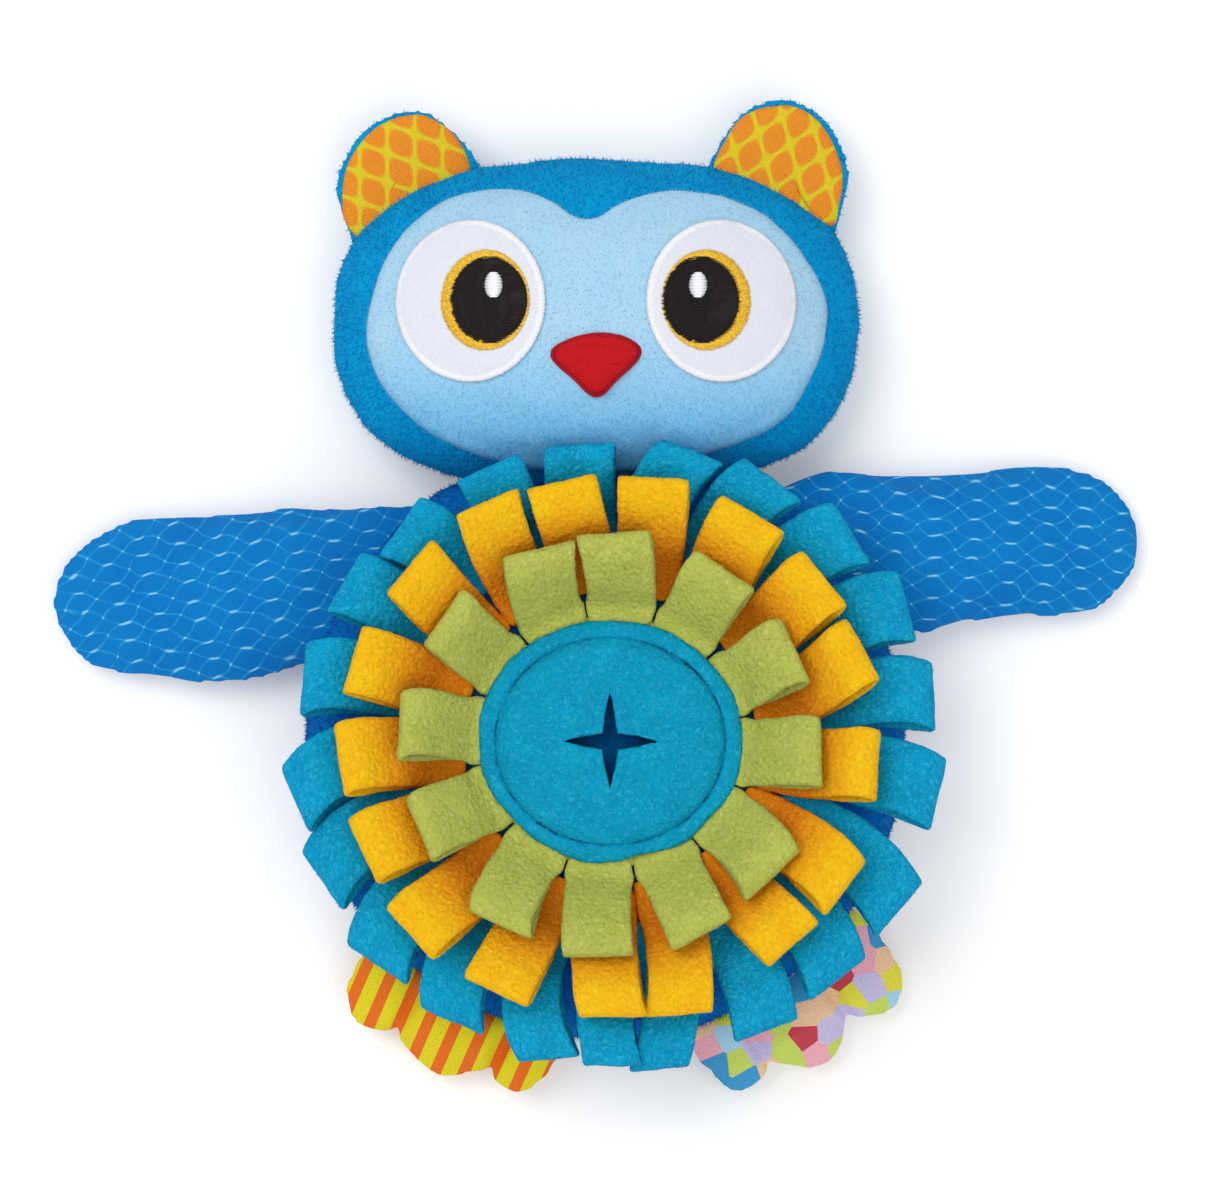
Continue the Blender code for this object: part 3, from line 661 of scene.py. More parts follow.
def crownFrom(piece, look):
    # both faces rise from the seam in a round curve, as on anything stuffed
    seam = [vertex.co for vertex in piece.data.vertices if abs(vertex.normal.z) < look["sideways"]]
    places = KDTree(len(seam))
    for index, place in enumerate(seam):
        places.insert((place.x, place.y, 0), index)
    places.balance()
    level = sum(place.z for place in seam) / len(seam)
    for vertex in piece.data.vertices:
        away = places.find((vertex.co.x, vertex.co.y, 0))[2]
        share = 1 - min(away / look["crownWide"], 1)
        full = look["thin"] + (look["full"] - look["thin"]) * math.sqrt(1 - share * share)
        vertex.co.z = level + (vertex.co.z - level) * full
    piece.data.update()


def notchesOf(spots, look):
    # where the toes' outline falls back between two that reach further: (reach, place along the foot)
    reaches = {}
    for out, along in spots:
        cell = round(along / look["toeCell"])
        reaches[cell] = max(reaches.get(cell, 0), out)
    notches = []
    for cell, reach in sorted(reaches.items()):
        near, left, right = ([reaches[other] for other in range(cell + first, cell + last + 1) if other in reaches]
                             for first, last in ((-look["toeNear"], look["toeNear"]), (-look["toeFar"], -1),
                                                 (1, look["toeFar"])))
        if left and right and reach == min(near) and min(max(left), max(right)) > reach + look["toeDip"]:
            notches.append((reach, cell * look["toeCell"]))
    return notches


def creaseToes(piece, hinge, outward, look):
    # a crease runs back into the foot from each notch between two toes
    sideways = outward.cross(Vector((0, 0, 1)))
    spots = [((vertex.co - hinge).dot(outward), (vertex.co - hinge).dot(sideways)) for vertex in piece.data.vertices]
    notches = notchesOf(spots, look)
    level = sum(vertex.co.z for vertex in piece.data.vertices) / len(spots)
    for vertex, (out, along) in zip(piece.data.vertices, spots):
        for reach, middle in notches:
            share = math.exp(-((along - middle) / look["creaseWide"]) ** 2)
            share *= min(max(1 - (reach - out) / look["creaseLong"], 0), 1)
            vertex.co.z = level + (vertex.co.z - level) * (1 - look["creaseDeep"] * share)
            vertex.co -= outward * look["notchIn"] * share * share
    piece.data.update()


def keepLargest(piece):
    # drops any crumb that the remesh leaves beside the piece
    mesh = bmesh.new()
    mesh.from_mesh(piece.data)
    left = set(mesh.verts)
    islands = []
    while left:
        island, edge = set(), {left.pop()}
        while edge:
            island |= edge
            edge = {link.other_vert(vertex) for vertex in edge for link in vertex.link_edges} - island
        left -= island
        islands.append(island)
    islands.sort(key=len)
    bmesh.ops.delete(mesh, geom=[vertex for island in islands[:-1] for vertex in island], context="VERTS")
    mesh.to_mesh(piece.data)
    mesh.free()


def drawTowards(piece, packed, look):
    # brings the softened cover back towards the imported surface, and a little proud of it
    for vertex in piece.data.vertices:
        near, normal = packed.find_nearest(vertex.co)[:2]
        vertex.co += (near - normal * look["shrink"] - vertex.co) * look["drawn"]


def stuffedPiece(name, node, material, look, pinned=None):
    piece = copyOfNode(node, name, material)
    packed = treeOf(piece)
    remesh(piece, look["voxel"])
    keepLargest(piece)
    soften(piece, look["softened"])
    drawTowards(piece, packed, look)
    soften(piece, look["smoothed"])
    inflate(piece, look, pinned)
    subdivide(piece, look["levels"])
    if "crownWide" in look:
        crownFrom(piece, look)
    drawSeam(piece, look)
    roughen(piece, look["lumps"])
    for vertex in piece.data.vertices:
        vertex.co.z = max(vertex.co.z, look["rest"])
    return piece


def tuckOf(place, hinge, outward, look):
    # how far the root runs on into the seam that holds it
    share = min(max(1 - (place - hinge).dot(outward) / look["tuckFrom"], 0), 1)
    return outward * look["tuckBy"] * share * share * (3 - 2 * share)


def tuckRoot(piece, hinge, outward, look):
    for vertex in piece.data.vertices:
        vertex.co -= tuckOf(vertex.co, hinge, outward, look)


joints = {joint["name"]: joint for joint in frame["joints"]}


stuffing = {"softened": 3, "drawn": 0.6, "pressure": 4.0, "levels": 1}
bodyLook = {**stuffing, "voxel": 2.4 * mm, "shrink": 0.2 * mm, "cap": 2.2 * mm, "smoothed": 3, "eased": 2,
            "seamOut": 0.4 * mm, "seamWidth": 0.35, "lumps": ((14 * mm, 0.6 * mm), (2.2 * mm, 0.2 * mm)),
            "rest": 0.4 * mm, "flatTo": 1.2 * mm}
headLook = {**stuffing, "voxel": 2.2 * mm, "shrink": -2.6 * mm, "cap": 2.4 * mm, "smoothed": 4, "eased": 3,
            "seamOut": 0.8 * mm, "seamWidth": 0.5, "lumps": ((18 * mm, 0.7 * mm), (2.2 * mm, 0.15 * mm)),
            "rest": 0.6 * mm}


def makeBody(look):
    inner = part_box("flower_base")[1].x + look["cap"]

    def pinned(place):
        return place.z < look["flatTo"] or (place.xy.length < inner and place.z > look["rest"])
    piece = stuffedPiece("plushBody", "body_cushion", materials["bodyPlush"], look, pinned)
    rememberPlace(piece)
    dress(piece, "body_cushion", "body")
    return piece


def makeHead(look):
    piece = stuffedPiece("plushHead", "head", materials["headPlush"], look)
    rememberPlace(piece)
    dress(piece, "head")
    return piece


# Face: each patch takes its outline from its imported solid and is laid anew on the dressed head

def edgeOf(node):
    mesh = bmesh.new()
    mesh.from_mesh(frame["nodes"][node].data)
    bmesh.ops.remove_doubles(mesh, verts=mesh.verts, dist=sameSpot)
    rim = set()
    for edge in mesh.edges:
        if len(edge.link_faces) == 2 and (edge.link_faces[0].normal.z > 0) != (edge.link_faces[1].normal.z > 0):
            rim.update(edge.verts)
    low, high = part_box(node)
    middle = (low + high) / 2
    middle.z = 0
    points = [Vector((vertex.co.x, vertex.co.y, 0)) for vertex in rim]
    mesh.free()
    points.sort(key=lambda point: math.atan2(point.y - middle.y, point.x - middle.x) % math.tau)
    return curveThrough(points), middle


def grown(outline, distance):
    edge, middle = outline

    def wider(turn):
        place = edge(turn)
        return place + (place - middle).normalized() * distance
    return wider


faceLook = {"cells": 90, "lift": 1.1 * mm, "thickness": 0.7 * mm, "tuck": 1.9 * mm, "puff": 0.8 * mm,
            "growth": 0.6 * mm, "lumps": ((9 * mm, 0.35 * mm), (2.0 * mm, 0.12 * mm)), "areaShare": 0.84}
eyeLook = {"cells": 40, "lift": 0.5 * mm, "thickness": 0.5 * mm, "tuck": 0.2 * mm, "puff": 0.3 * mm}
discLook = {"cells": 24, "thickness": 0.1 * mm, "tuck": 0.05 * mm, "puff": 0.0, "growth": -0.5 * mm}
stitchLook = {"thick": 0.46 * mm, "spacing": 0.40 * mm, "ragged": 0.10, "outerRagged": 0.6, "ringSteps": 90}
rimLook = {**stitchLook, "rise": 1.0 * mm, "inner": -1.9 * mm, "outer": 0.3 * mm}
irisLook = {**stitchLook, "rise": 0.25 * mm, "inner": -0.4 * mm}
trimLook = {**stitchLook, "spacing": 0.75 * mm, "thick": 0.28 * mm, "rise": 0.02 * mm, "ragged": 0.2,
            "inner": -0.55 * mm, "outer": 0.25 * mm}
pupilLook = {**stitchLook, "thick": 0.5 * mm, "rise": 0.35 * mm, "longest": 5.0 * mm, "ragged": 0.304 * mm,
             "growth": 0.35 * mm, "broken": (0.3, 0.7), "fillSteps": 120}
glintLook = {**pupilLook, "rise": 0.7 * mm, "longest": 9 * mm, "ragged": 0.095 * mm, "growth": 0.0}


def pointsOf(edge, count):
    return [edge(step / count) for step in range(count)]


def satinRing(mesh, inner, outer, tree, look):
    # close stitches laid side by side from one outline out to the other
    points = pointsOf(outer, look["ringSteps"])
    length = sum((after - point).length for point, after in zip(points, points[1:] + points[:1]))
    count = int(length / look["spacing"])
    for number in range(count):
        turn = number / count
        start, end = inner(turn), outer(turn)
        if (end - start).length < look["thick"]:
            continue
        start = start.lerp(end, luck.uniform(-look["ragged"], look["ragged"]))
        end = end.lerp(start, luck.uniform(-look["ragged"], look["ragged"]) * look["outerRagged"])
        low, high = dropOnto(tree, start)[0], dropOnto(tree, end)[0]
        if low and high:
            addThread(mesh, low, high, look["thick"], look["rise"])


def satinFill(mesh, edge, tree, look):
    # rows of stitches that run across the patch, a little ragged where they end
    points = pointsOf(edge, look["fillSteps"])
    low, high = min(point.y for point in points), max(point.y for point in points)
    rows = int((high - low) / look["spacing"])
    for row in range(1, rows):
        y = low + (high - low) * row / rows
        crossings = []
        for first, second in zip(points, points[1:] + points[:1]):
            if (first.y - y) * (second.y - y) < 0:
                crossings.append(first.x + (second.x - first.x) * (y - first.y) / (second.y - first.y))
        if len(crossings) < 2:
            continue
        left = min(crossings) + luck.uniform(-1, 1) * look["ragged"]
        right = max(crossings) + luck.uniform(-1, 1) * look["ragged"]
        parts = max(1, round((right - left) / look["longest"]))
        shift = luck.uniform(*look["broken"]) if parts > 1 else 1
        stops = [left] + [left + (right - left) * (part + shift) / parts for part in range(parts)]
        stops[-1] = right
        for start, end in zip(stops, stops[1:]):
            a, b = dropOnto(tree, Vector((start, y, 0)))[0], dropOnto(tree, Vector((end, y, 0)))[0]
            if a and b and end - start > look["thick"]:
                addThread(mesh, a, b, look["thick"], look["rise"])


def makeEye(side, skin):
    node = "eye_white_" + side
    whiteOutline = edgeOf(node)
    white = layPatch("eyeWhite_" + side, *whiteOutline, skin, materials["eyeSatin"], eyeLook)
    rememberPlace(white, whiteOutline[1])
    dress(white, node, "head")
    cutFrom(node, math.pi / 4)
    satin = treeOf(white)
    iris, pupil, glint = (edgeOf(part + side) for part in ("iris_", "pupil_", "glint_"))
    for name, outline, cloth, lift in (("irisDisc_", iris, "yellowThread", 0.12 * mm),
                                       ("pupilDisc_", pupil, "blackThread", 0.24 * mm)):
        edge = grown(outline, discLook["growth"])
        disc = layPatch(name + side, edge, outline[1], satin, materials[cloth], {**discLook, "lift": lift})
        rememberPlace(disc)
        dress(disc, None, "head")
    rimThreads, irisThreads, pupilThreads, glintThreads = (bmesh.new() for _ in range(4))
    satinRing(rimThreads, grown(whiteOutline, rimLook["inner"]), grown(whiteOutline, rimLook["outer"]), skin, rimLook)
    satinRing(irisThreads, grown(pupil, irisLook["inner"]), iris[0], satin, irisLook)
    satinFill(pupilThreads, grown(pupil, pupilLook["growth"]), satin, pupilLook)
    satinFill(glintThreads, glint[0], satin, glintLook)
    for name, mesh, cloth, slot, hidden in (
            ("eyeRim_", rimThreads, "whiteThread", "eye_satin", None),
            ("irisStitches_", irisThreads, "yellowThread", "iris_thread", "iris_"),
            ("pupilStitches_", pupilThreads, "blackThread", "pupil_thread", "pupil_"),
            ("glintStitches_", glintThreads, "whiteThread", "glint_thread", "glint_")):
        dress(sew(name + side, mesh, cloth), hidden and hidden + side, "head")


beakLook = {"cells": 44, "lift": 0.7 * mm, "thickness": 0.9 * mm, "tuck": 1.2 * mm, "puff": 2.0 * mm,
            "crease": 0.6 * mm, "creaseAt": 0.86, "creaseWide": 0.10, "arch": 0.16}


def makeBeak(skin):
    look = beakLook
    outline = edgeOf("beak")
    low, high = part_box("beak")
    piece = layPatch("beakFelt", *outline, skin, materials["redFelt"], look)
    for vertex in piece.data.vertices:
        # a crease under the top edge, that follows its arch
        across = (vertex.co.x - outline[1].x) / (high.x - low.x) * 2
        up = (vertex.co.y - low.y) / (high.y - low.y) + across * across * look["arch"]
        near = max(0, 1 - abs(up - look["creaseAt"]) / look["creaseWide"])
        vertex.co.z -= look["crease"] * near * near * max(0, 1 - abs(across) ** 3)
    rememberPlace(piece, outline[1])
    stitches = bmesh.new()
    satinRing(stitches, grown(outline, trimLook["inner"]), grown(outline, trimLook["outer"]), treeOf(piece), trimLook)
    dress(sew("beakStitches", stitches, "redThread"), None, "head")
    dress(piece, "beak", "head")


def makeFace(head):
    outline = edgeOf("face_patch")
    cloth = layPatch("faceCloth", grown(outline, faceLook["growth"]), outline[1], treeOf(head),
                     materials["faceMinky"], faceLook)
    roughen(cloth, faceLook["lumps"])
    rememberPlace(cloth)
    dress(cloth, "face_patch")
    cutFrom("face_patch", faceLook["areaShare"])
    skin = treeOf(cloth)
    for side in ("left", "right"):
        makeEye(side, skin)
    makeBeak(skin)
    return cloth


body = makeBody(bodyLook)
print("body stuffed")
head = makeHead(headLook)
print("head stuffed")
faceCloth = makeFace(head)
print("face sewn")


# Pile: short closed fibres, rooted in the cloth, that blur its outline

pileLooks = {
    "plush": {"perArea": 1.1 / mm ** 2, "length": 1.6 * mm, "thick": 0.16 * mm, "lean": 0.75, "sunk": 0.25 * mm,
              "comb": Vector((0, -0.35, 0))},
    "minky": {"perArea": 1.1 / mm ** 2, "length": 1.1 * mm, "thick": 0.13 * mm, "lean": 0.8, "sunk": 0.2 * mm,
              "comb": Vector((0, -0.3, 0))},
    "fleece": {"perArea": 0.30 / mm ** 2, "length": 1.0 * mm, "thick": 0.14 * mm, "lean": 1.1, "sunk": 0.2 * mm,
               "comb": Vector((0, 0, 0))},
}
fibreLengths = 0.6, 1.2
fibreLeast = 0.1 * mm


def rootsOf(piece, look, hidden, chance):
    # where fibres stand on a cloth, which way each leans and how long it is
    spots = [vertex.co for vertex in piece.data.vertices]
    roots = []
    for face in piece.data.polygons:
        corners = [spots[index] for index in face.vertices]
        for _ in range(int(face.area * look["perArea"] + chance.random())):
            share = chance.random()
            near, far = corners[0].lerp(corners[1], share), corners[-1].lerp(corners[2], share)
            root = near.lerp(far, chance.random())
            lean = Vector((chance.uniform(-1, 1), chance.uniform(-1, 1), chance.uniform(-1, 1)))
            way = (face.normal + lean * look["lean"] + look["comb"]).normalized()
            if not hidden(root, face.normal):
                roots.append((root - face.normal * look["sunk"], way, chance.uniform(*fibreLengths) * look["length"]))
    return roots


def addPile(name, piece, kind, hidden=lambda root, normal: False):
    look = pileLooks[kind]
    roots = rootsOf(piece, look, hidden, random.Random(len(name)))
    # one closed fibre, copied to each root
    mesh = bmesh.new()
    bmesh.ops.create_cone(mesh, cap_ends=True, segments=3, radius1=look["thick"], radius2=0, depth=1,
                          matrix=Matrix.Translation((0, 0, 0.5)))
    bmesh.ops.remove_doubles(mesh, verts=mesh.verts, dist=sameSpot)
    corners = [vertex.co.copy() for vertex in mesh.verts]
    pile = newPiece(name, mesh, piece.data.materials[0])
    copies = pile.modifiers.new("copies", "ARRAY")
    copies.use_relative_offset = False
    copies.count = len(roots)
    settle(pile)
    places = []
    for root, way, length in roots:
        turned = way.to_track_quat("Z", "Y").to_matrix() @ Matrix.Diagonal((1, 1, length))
        for corner in corners:
            place = root + turned @ corner
            places += (place.x, place.y, max(place.z, fibreLeast))
    pile.data.vertices.foreach_set("co", places)
    pile.data.update()
    rememberPlace(pile)
    # the fibres take the colour of the tips, without the yellow's painted root shade
    if "outward" in piece.data.attributes:
        outward = pile.data.attributes.new("outward", "FLOAT", "POINT")
        outward.data.foreach_set("value", [1.0] * len(pile.data.vertices))
    print(name, len(roots), "fibres")
    return pile


def under(tree):
    # whether a root lies under a cover
    def hidden(root, normal):
        hit = dropOnto(tree, root)[0]
        return normal.z > 0 and hit is not None and hit.z > root.z
    return hidden


# Ears, wings and feet: flaps that bend where they are sewn on

def seamAt(jointName):
    # where a flap is sewn on, and the level way out from there, square to the hinge's axis
    axis = Vector(joints[jointName]["axis"])
    return Vector(joints[jointName]["pos_m"]), Vector((-axis.y, axis.x, 0)).normalized()


earLook = {**stuffing, "voxel": 1.1 * mm, "shrink": -0.5 * mm, "pressure": 3.0, "cap": 0.8 * mm, "smoothed": 5,
           "eased": 10, "seamOut": 2.6 * mm, "seamWidth": 0.85, "lumps": ((12 * mm, 0.4 * mm),), "rest": 1.0 * mm,
           "bendFrom": -2.5 * mm, "bendTo": 6.0 * mm, "tuckFrom": 12 * mm, "tuckBy": 9 * mm}
liningLook = {"cells": 40, "lift": 0.8 * mm, "thickness": 0.5 * mm, "tuck": 1.2 * mm, "puff": 0.2 * mm,
              "lumps": ((7 * mm, 0.3 * mm),), "shift": 0.6 * mm, "growth": 0.4 * mm, "tuckFrom": 9 * mm,
              "tuckBy": 2 * mm, "areaShare": 0.82}
wingLook = {**stuffing, "voxel": 1.8 * mm, "shrink": -0.4 * mm, "cap": 1.4 * mm, "smoothed": 6, "eased": 12,
            "seamOut": 2.6 * mm, "seamWidth": 0.95, "lumps": ((30 * mm, 0.8 * mm),), "crownWide": 16 * mm,
            "sideways": 0.3, "thin": 0.85, "full": 1.10, "rest": 0.6 * mm, "bendFrom": -3.0 * mm,
            "bendTo": 12.0 * mm, "tuckFrom": 24 * mm, "tuckBy": 14 * mm}
footLook = {**stuffing, "voxel": 1.6 * mm, "shrink": -0.2 * mm, "cap": 1.2 * mm, "smoothed": 6, "eased": 6,
            "seamOut": 2.0 * mm, "seamWidth": 0.95, "lumps": ((14 * mm, 0.4 * mm),), "crownWide": 9 * mm,
            "sideways": 0.3, "thin": 0.85, "full": 1.30, "rest": 0.4 * mm, "bendFrom": -3.0 * mm,
            "bendTo": 8.0 * mm, "tuckFrom": 10 * mm, "tuckBy": 5 * mm, "toeCell": 1.5 * mm, "toeNear": 2,
            "toeFar": 7, "toeDip": 0.2 * mm, "creaseWide": 2.2 * mm, "creaseLong": 16 * mm, "creaseDeep": 0.75,
            "notchIn": 1.8 * mm}
# how far each print is turned on its piece, in degrees
printTurns = {"ear_left": 35, "ear_right": -20, "wing_left": -164, "wing_right": -4, "foot_left": -24,
              "foot_right": 20}


def bendAt(piece, carrier, bodyName, seam, look):
    hinge, outward = seam
    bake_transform(piece, carrier, bodyName, start=hinge + outward * look["bendFrom"], end=hinge + outward * look["bendTo"])


def makeEar(side):
    name, lined, look = "ear_" + side, "ear_lining_" + side, liningLook
    hinge, outward = seam = seamAt(f"ear_{side}_fold")
    ear = stuffedPiece("plushEar_" + side, name, materials["headPlush"], earLook)
    tuckRoot(ear, *seam, earLook)
    rememberPlace(ear)
    outline = edgeOf(lined)
    sideways = Vector((math.copysign(look["shift"], -outline[1].x), 0, 0))
    level = Vector((hinge.x, hinge.y, 0))
    wider = grown(outline, look["growth"])

    def rooted(turn):
        # the lining runs into the same seam as its ear
        place = wider(turn) + sideways
        return place - tuckOf(place, level, outward, look)
    lining = layPatch("earLining_" + side, rooted, outline[1], treeOf(ear), materials["earPrint"], look)
    roughen(lining, look["lumps"])
    rememberPlace(lining, outline[1], printTurns[name])
    dress(ear, name)
    dress(lining, lined)
    cutFrom(lined, look["areaShare"])
    pile = addPile("earPile_" + side, ear, "plush", under(treeOf(lining)))
    for piece in (ear, lining, pile):
        bendAt(piece, "head", name, seam, earLook)


def makeFlap(name, node, jointName, cloth, look):
    seam = seamAt(jointName)
    piece = stuffedPiece(name, node, materials[cloth], look)
    if "toeCell" in look:
        creaseToes(piece, *seam, look)
    tuckRoot(piece, *seam, look)
    rememberPlace(piece, seam[0], printTurns[node])
    dress(piece, node)
    bendAt(piece, "body", node, seam, look)


neckReach = {"bendFrom": -5 * mm, "bendTo": 14 * mm}


def makePiles():
    # none grows under an eye, the beak or the flower
    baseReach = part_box("flower_base")[1].x
    ovals = [((low + high) / 2, (high - low) / 2)
             for low, high in (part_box(node) for node in ("eye_white_left", "eye_white_right", "beak"))]

    def onFace(root, normal):
        return normal.z < 0 or any(math.hypot((root.x - middle.x) / half.x, (root.y - middle.y) / half.y) < 1
                                   for middle, half in ovals)

    def underBase(root, normal):
        return root.xy.length < baseReach if normal.z > 0 else root.z < bodyLook["flatTo"]
    headPile = addPile("headPile", head, "plush", under(treeOf(faceCloth)))
    facePile = addPile("facePile", faceCloth, "minky", onFace)
    dress(headPile)
    dress(facePile)
    dress(addPile("bodyPile", body, "plush", underBase), None, "body")
    for piece in (head, faceCloth, headPile, facePile):
        bendAt(piece, "body", "head", (seamAt("head_nod")[0], Vector((0, 1, 0))), neckReach)


makePiles()
for side in ("left", "right"):
    makeEar(side)
for side in ("left", "right"):
    makeFlap("printedWing_" + side, "wing_" + side, f"wing_{side}_flap", "wingPrint", wingLook)
makeFlap("stripedFoot", "foot_left", "foot_left_bend", "stripePrint", footLook)
makeFlap("patchedFoot", "foot_right", "foot_right_bend", "patchPrint", footLook)
print("ears, wings and feet sewn on")


# Flower: each ring is a strip of fleece, slit, folded over and sewn round along its hem

baseLook = {"cells": 60, "lift": 0.2 * mm, "thickness": 1.6 * mm, "tuck": 0.3 * mm, "puff": 0.0}
# a loop seen from its side, as shares of its reach and its loft
loopProfile = ((-0.40, 0.10), (0.34, 0.10), (0.76, 0.15), (0.965, 0.38), (0.93, 0.74), (0.66, 0.90), (0.32, 0.68),
               (-0.02, 0.30), (-0.40, 0.14))
# rise: (all round, more near the head); reachShares: (all round, to the right, to the head, to both sides);
# crowded: a loop's (width, reach, lift of its tip); tips: where each tip lies, in degrees
ringLooks = {
    "blue": {"radius": 61.8 * mm, "reach": 27.2 * mm, "loft": 9.0 * mm, "rise": (0.12, 0.32),
             "reachShares": (0.955, 0.09, -0.145, 0.07), "flat": (70 * mm, 389 * mm),
             "crowded": {14: (0.84, 1.0, 1.0 * mm), 15: (0.80, 1.0, 3.0 * mm), 16: (0.88, 1.04, -1.0 * mm)},
             "tips": (6.8, 23.7, 39.9, 57.4, 73.5, 95.4, 114.1, 134.9, 149.8, 169.5, 191.7, 207.2, 224.7, 241.2,
                      259.9, 270.5, 278.6, 298.1, 312.9, 329.3, 350.0)},
    "yellow": {"radius": 50.0 * mm, "reach": 24.5 * mm, "loft": 10.0 * mm, "rise": (0.56, 0.10),
               "reachShares": (1, 0, -0.07, 0), "flat": (66 * mm, 315 * mm),
               "crowded": {12: (0.97, 0.97, 2.5 * mm), 13: (0.95, 1.05, -2.0 * mm)},
               "tips": (19.4, 36.2, 57.0, 80.4, 100.5, 117.0, 139.4, 163.0, 185.1, 204.7, 224.7, 246.0, 271.1,
                        284.0, 311.8, 327.1, 354.1)},
    "green": {"radius": 38.5 * mm, "reach": 18.5 * mm, "loft": 10.0 * mm, "rise": (0.68, 0.08),
              "reachShares": (1.02, 0, -0.05, 0), "flat": (54 * mm, 222 * mm),
              "crowded": {},
              "tips": (24.9, 55.2, 88.6, 110.5, 143.5, 177.0, 205.7, 240.0, 267.0, 295.5, 319.9, 356.3)},
}
stripLook = {"width": 18.5 * mm, "flare": 0.07, "slit": 1.0 * mm, "joined": 0.3, "tipHold": 0.45, "wall": 1.9 * mm,
             "across": 9, "along": 34, "rootStep": 0.4 * mm, "hemGap": 0.6 * mm, "push": 3.8 * mm, "stride": 1 * mm,
             "follows": 0.3, "pushWay": Vector((-0.35, 1, 0)), "roll": 0.17, "swayPower": 1.5, "napStep": 0.1,
             "lumps": ((6 * mm, 0.28 * mm), (1.6 * mm, 0.15 * mm))}
hemLook = {"in": 3.5 * mm, "wide": 4 * mm, "rise": 1.7 * mm, "around": 180, "rows": 4}
# how much loops differ: (least, most)
reachChance, loftChance, widthChance = (0.96, 1.03), (0.88, 1.08), (0.94, 1.04)
pushChance, twistChance = (-0.3, 0.3), (-0.09, 0.09)
crestAlong, crestUp = (-0.04, 0.04), (-0.05, 0.05)


def around(angle, radius=1.0):
    return Vector((math.cos(angle), math.sin(angle), 0)) * radius


def profileCurve(points, samples=24):
    # an open smooth curve, read at even steps of its length
    line = []
    padded = [points[0] * 2 - points[1], *points, points[-1] * 2 - points[-2]]
    for four in zip(padded, padded[1:], padded[2:], padded[3:]):
        line += [bentBetween(*four, step / samples) for step in range(samples)]
    line.append(points[-1])
    lengths = [0]
    for first, second in zip(line, line[1:]):
        lengths.append(lengths[-1] + (second - first).length)

    def at(share):
        wanted = share * lengths[-1]
        for index in range(len(line) - 1):
            if lengths[index + 1] >= wanted:
                run = lengths[index + 1] - lengths[index]
                return line[index].lerp(line[index + 1], (wanted - lengths[index]) / run if run else 0)
        return line[-1]
    return at, lengths[-1]


def frontOf(trees, place):
    # the height of the flower's ground: its base, or the body outside that
    hit = dropOnto(trees[0], place)[0]
    return hit.z if hit else dropOnto(trees[1], place)[0].z + baseLook["thickness"]


def loopShape(ring, number, tipAngle):
    # one loop's sizes, a little different each time
    narrow, longer, over = ring["crowded"].get(number, (1, 1, 0))
    toward = around(tipAngle)
    even, aside, upward, both = ring["reachShares"]
    reach = ring["reach"] * (even + aside * toward.x + upward * toward.y + both * math.cos(2 * tipAngle))
    reach *= luck.uniform(*reachChance) * longer
    loft = ring["loft"] * luck.uniform(*loftChance)
    rise = ring["rise"][0] + ring["rise"][1] * max(0, toward.y) ** 2
    pushed = stripLook["pushWay"].dot(Vector((-toward.y, toward.x, 0))) + luck.uniform(*pushChance)
    wide = stripLook["width"] * luck.uniform(*widthChance) * narrow
    twist = luck.uniform(*twistChance)
    points = [Vector((along * reach, up * loft)) for along, up in loopProfile]
    points[4:7] = [point + Vector((luck.uniform(*crestAlong) * reach, luck.uniform(*crestUp) * loft))
                   for point in points[4:7]]
    return reach, loft, rise, pushed, wide, twist, over, *profileCurve(points)


def addStrip(mesh, ring, number, rootAngle, tipAngle, height):
    look = stripLook
    reach, loft, rise, pushed, wide, twist, over, at, length = loopShape(ring, number, tipAngle)
    pitch = math.tau / len(ring["tips"])
    clothPlaces = mesh.verts.layers.float_vector["clothPlace"]
    outwards = mesh.verts.layers.float["outward"]

    def centreAt(along):
        # a loop leaves its hem square, and leans over to where its tip lies
        lean = rootAngle + (tipAngle - rootAngle) * (max(along, 0) / reach) ** look["swayPower"]
        return around(lean, ring["radius"] + along)

    made = bmesh.ops.create_grid(mesh, x_segments=look["across"], y_segments=look["along"], size=1)["verts"]
    for vertex in made:
        side, share = vertex.co.x, (vertex.co.y + 1) / 2
        along, up = at(share)
        far, high = max(along, 0) / reach, up / loft
        centre = centreAt(along)
        heading = (centreAt(along + look["stride"]) - centreAt(along - look["stride"])).normalized()
        out = centre.normalized().lerp(heading, look["follows"]).normalized()
        room = (ring["radius"] + along) * pitch
        loose = min(far / look["joined"], 1)
        half = min(wide * (1 + look["flare"] * far), room - look["slit"] * loose) / 2
        half = max(half, room / 2 * (1 - loose))
        sideways = side * half + look["push"] * pushed * high * far * (1 - look["tipHold"] * far ** 3)
        lifted = up + max(along, 0) * rise - side * half * far * look["roll"] * pushed + over * far
        vertex[clothPlaces] = Vector((side * half, share * length, number * look["napStep"]))
        # how far out along the loop the point lies, which sets where the yellow's painted root shade fades
        vertex[outwards] = far
        vertex.co = centre + out * twist * side * half * far + Vector((-out.y, out.x, 0)) * sideways
        vertex.co.z = height + look["rootStep"] + lifted


def addHem(mesh, ring, trees):
    # the sewn hem, a folded band that the loops rise from
    made = bmesh.ops.create_grid(mesh, x_segments=hemLook["around"], y_segments=hemLook["rows"], size=1)["verts"]
    for vertex in made:
        radius = ring["radius"] - hemLook["in"] - hemLook["wide"] * (vertex.co.y + 1) / 2
        place = around(vertex.co.x * math.pi, radius)
        place.z = frontOf(trees, place) + hemLook["rise"]
        vertex.co = place
    bmesh.ops.remove_doubles(mesh, verts=made, dist=sameSpot)


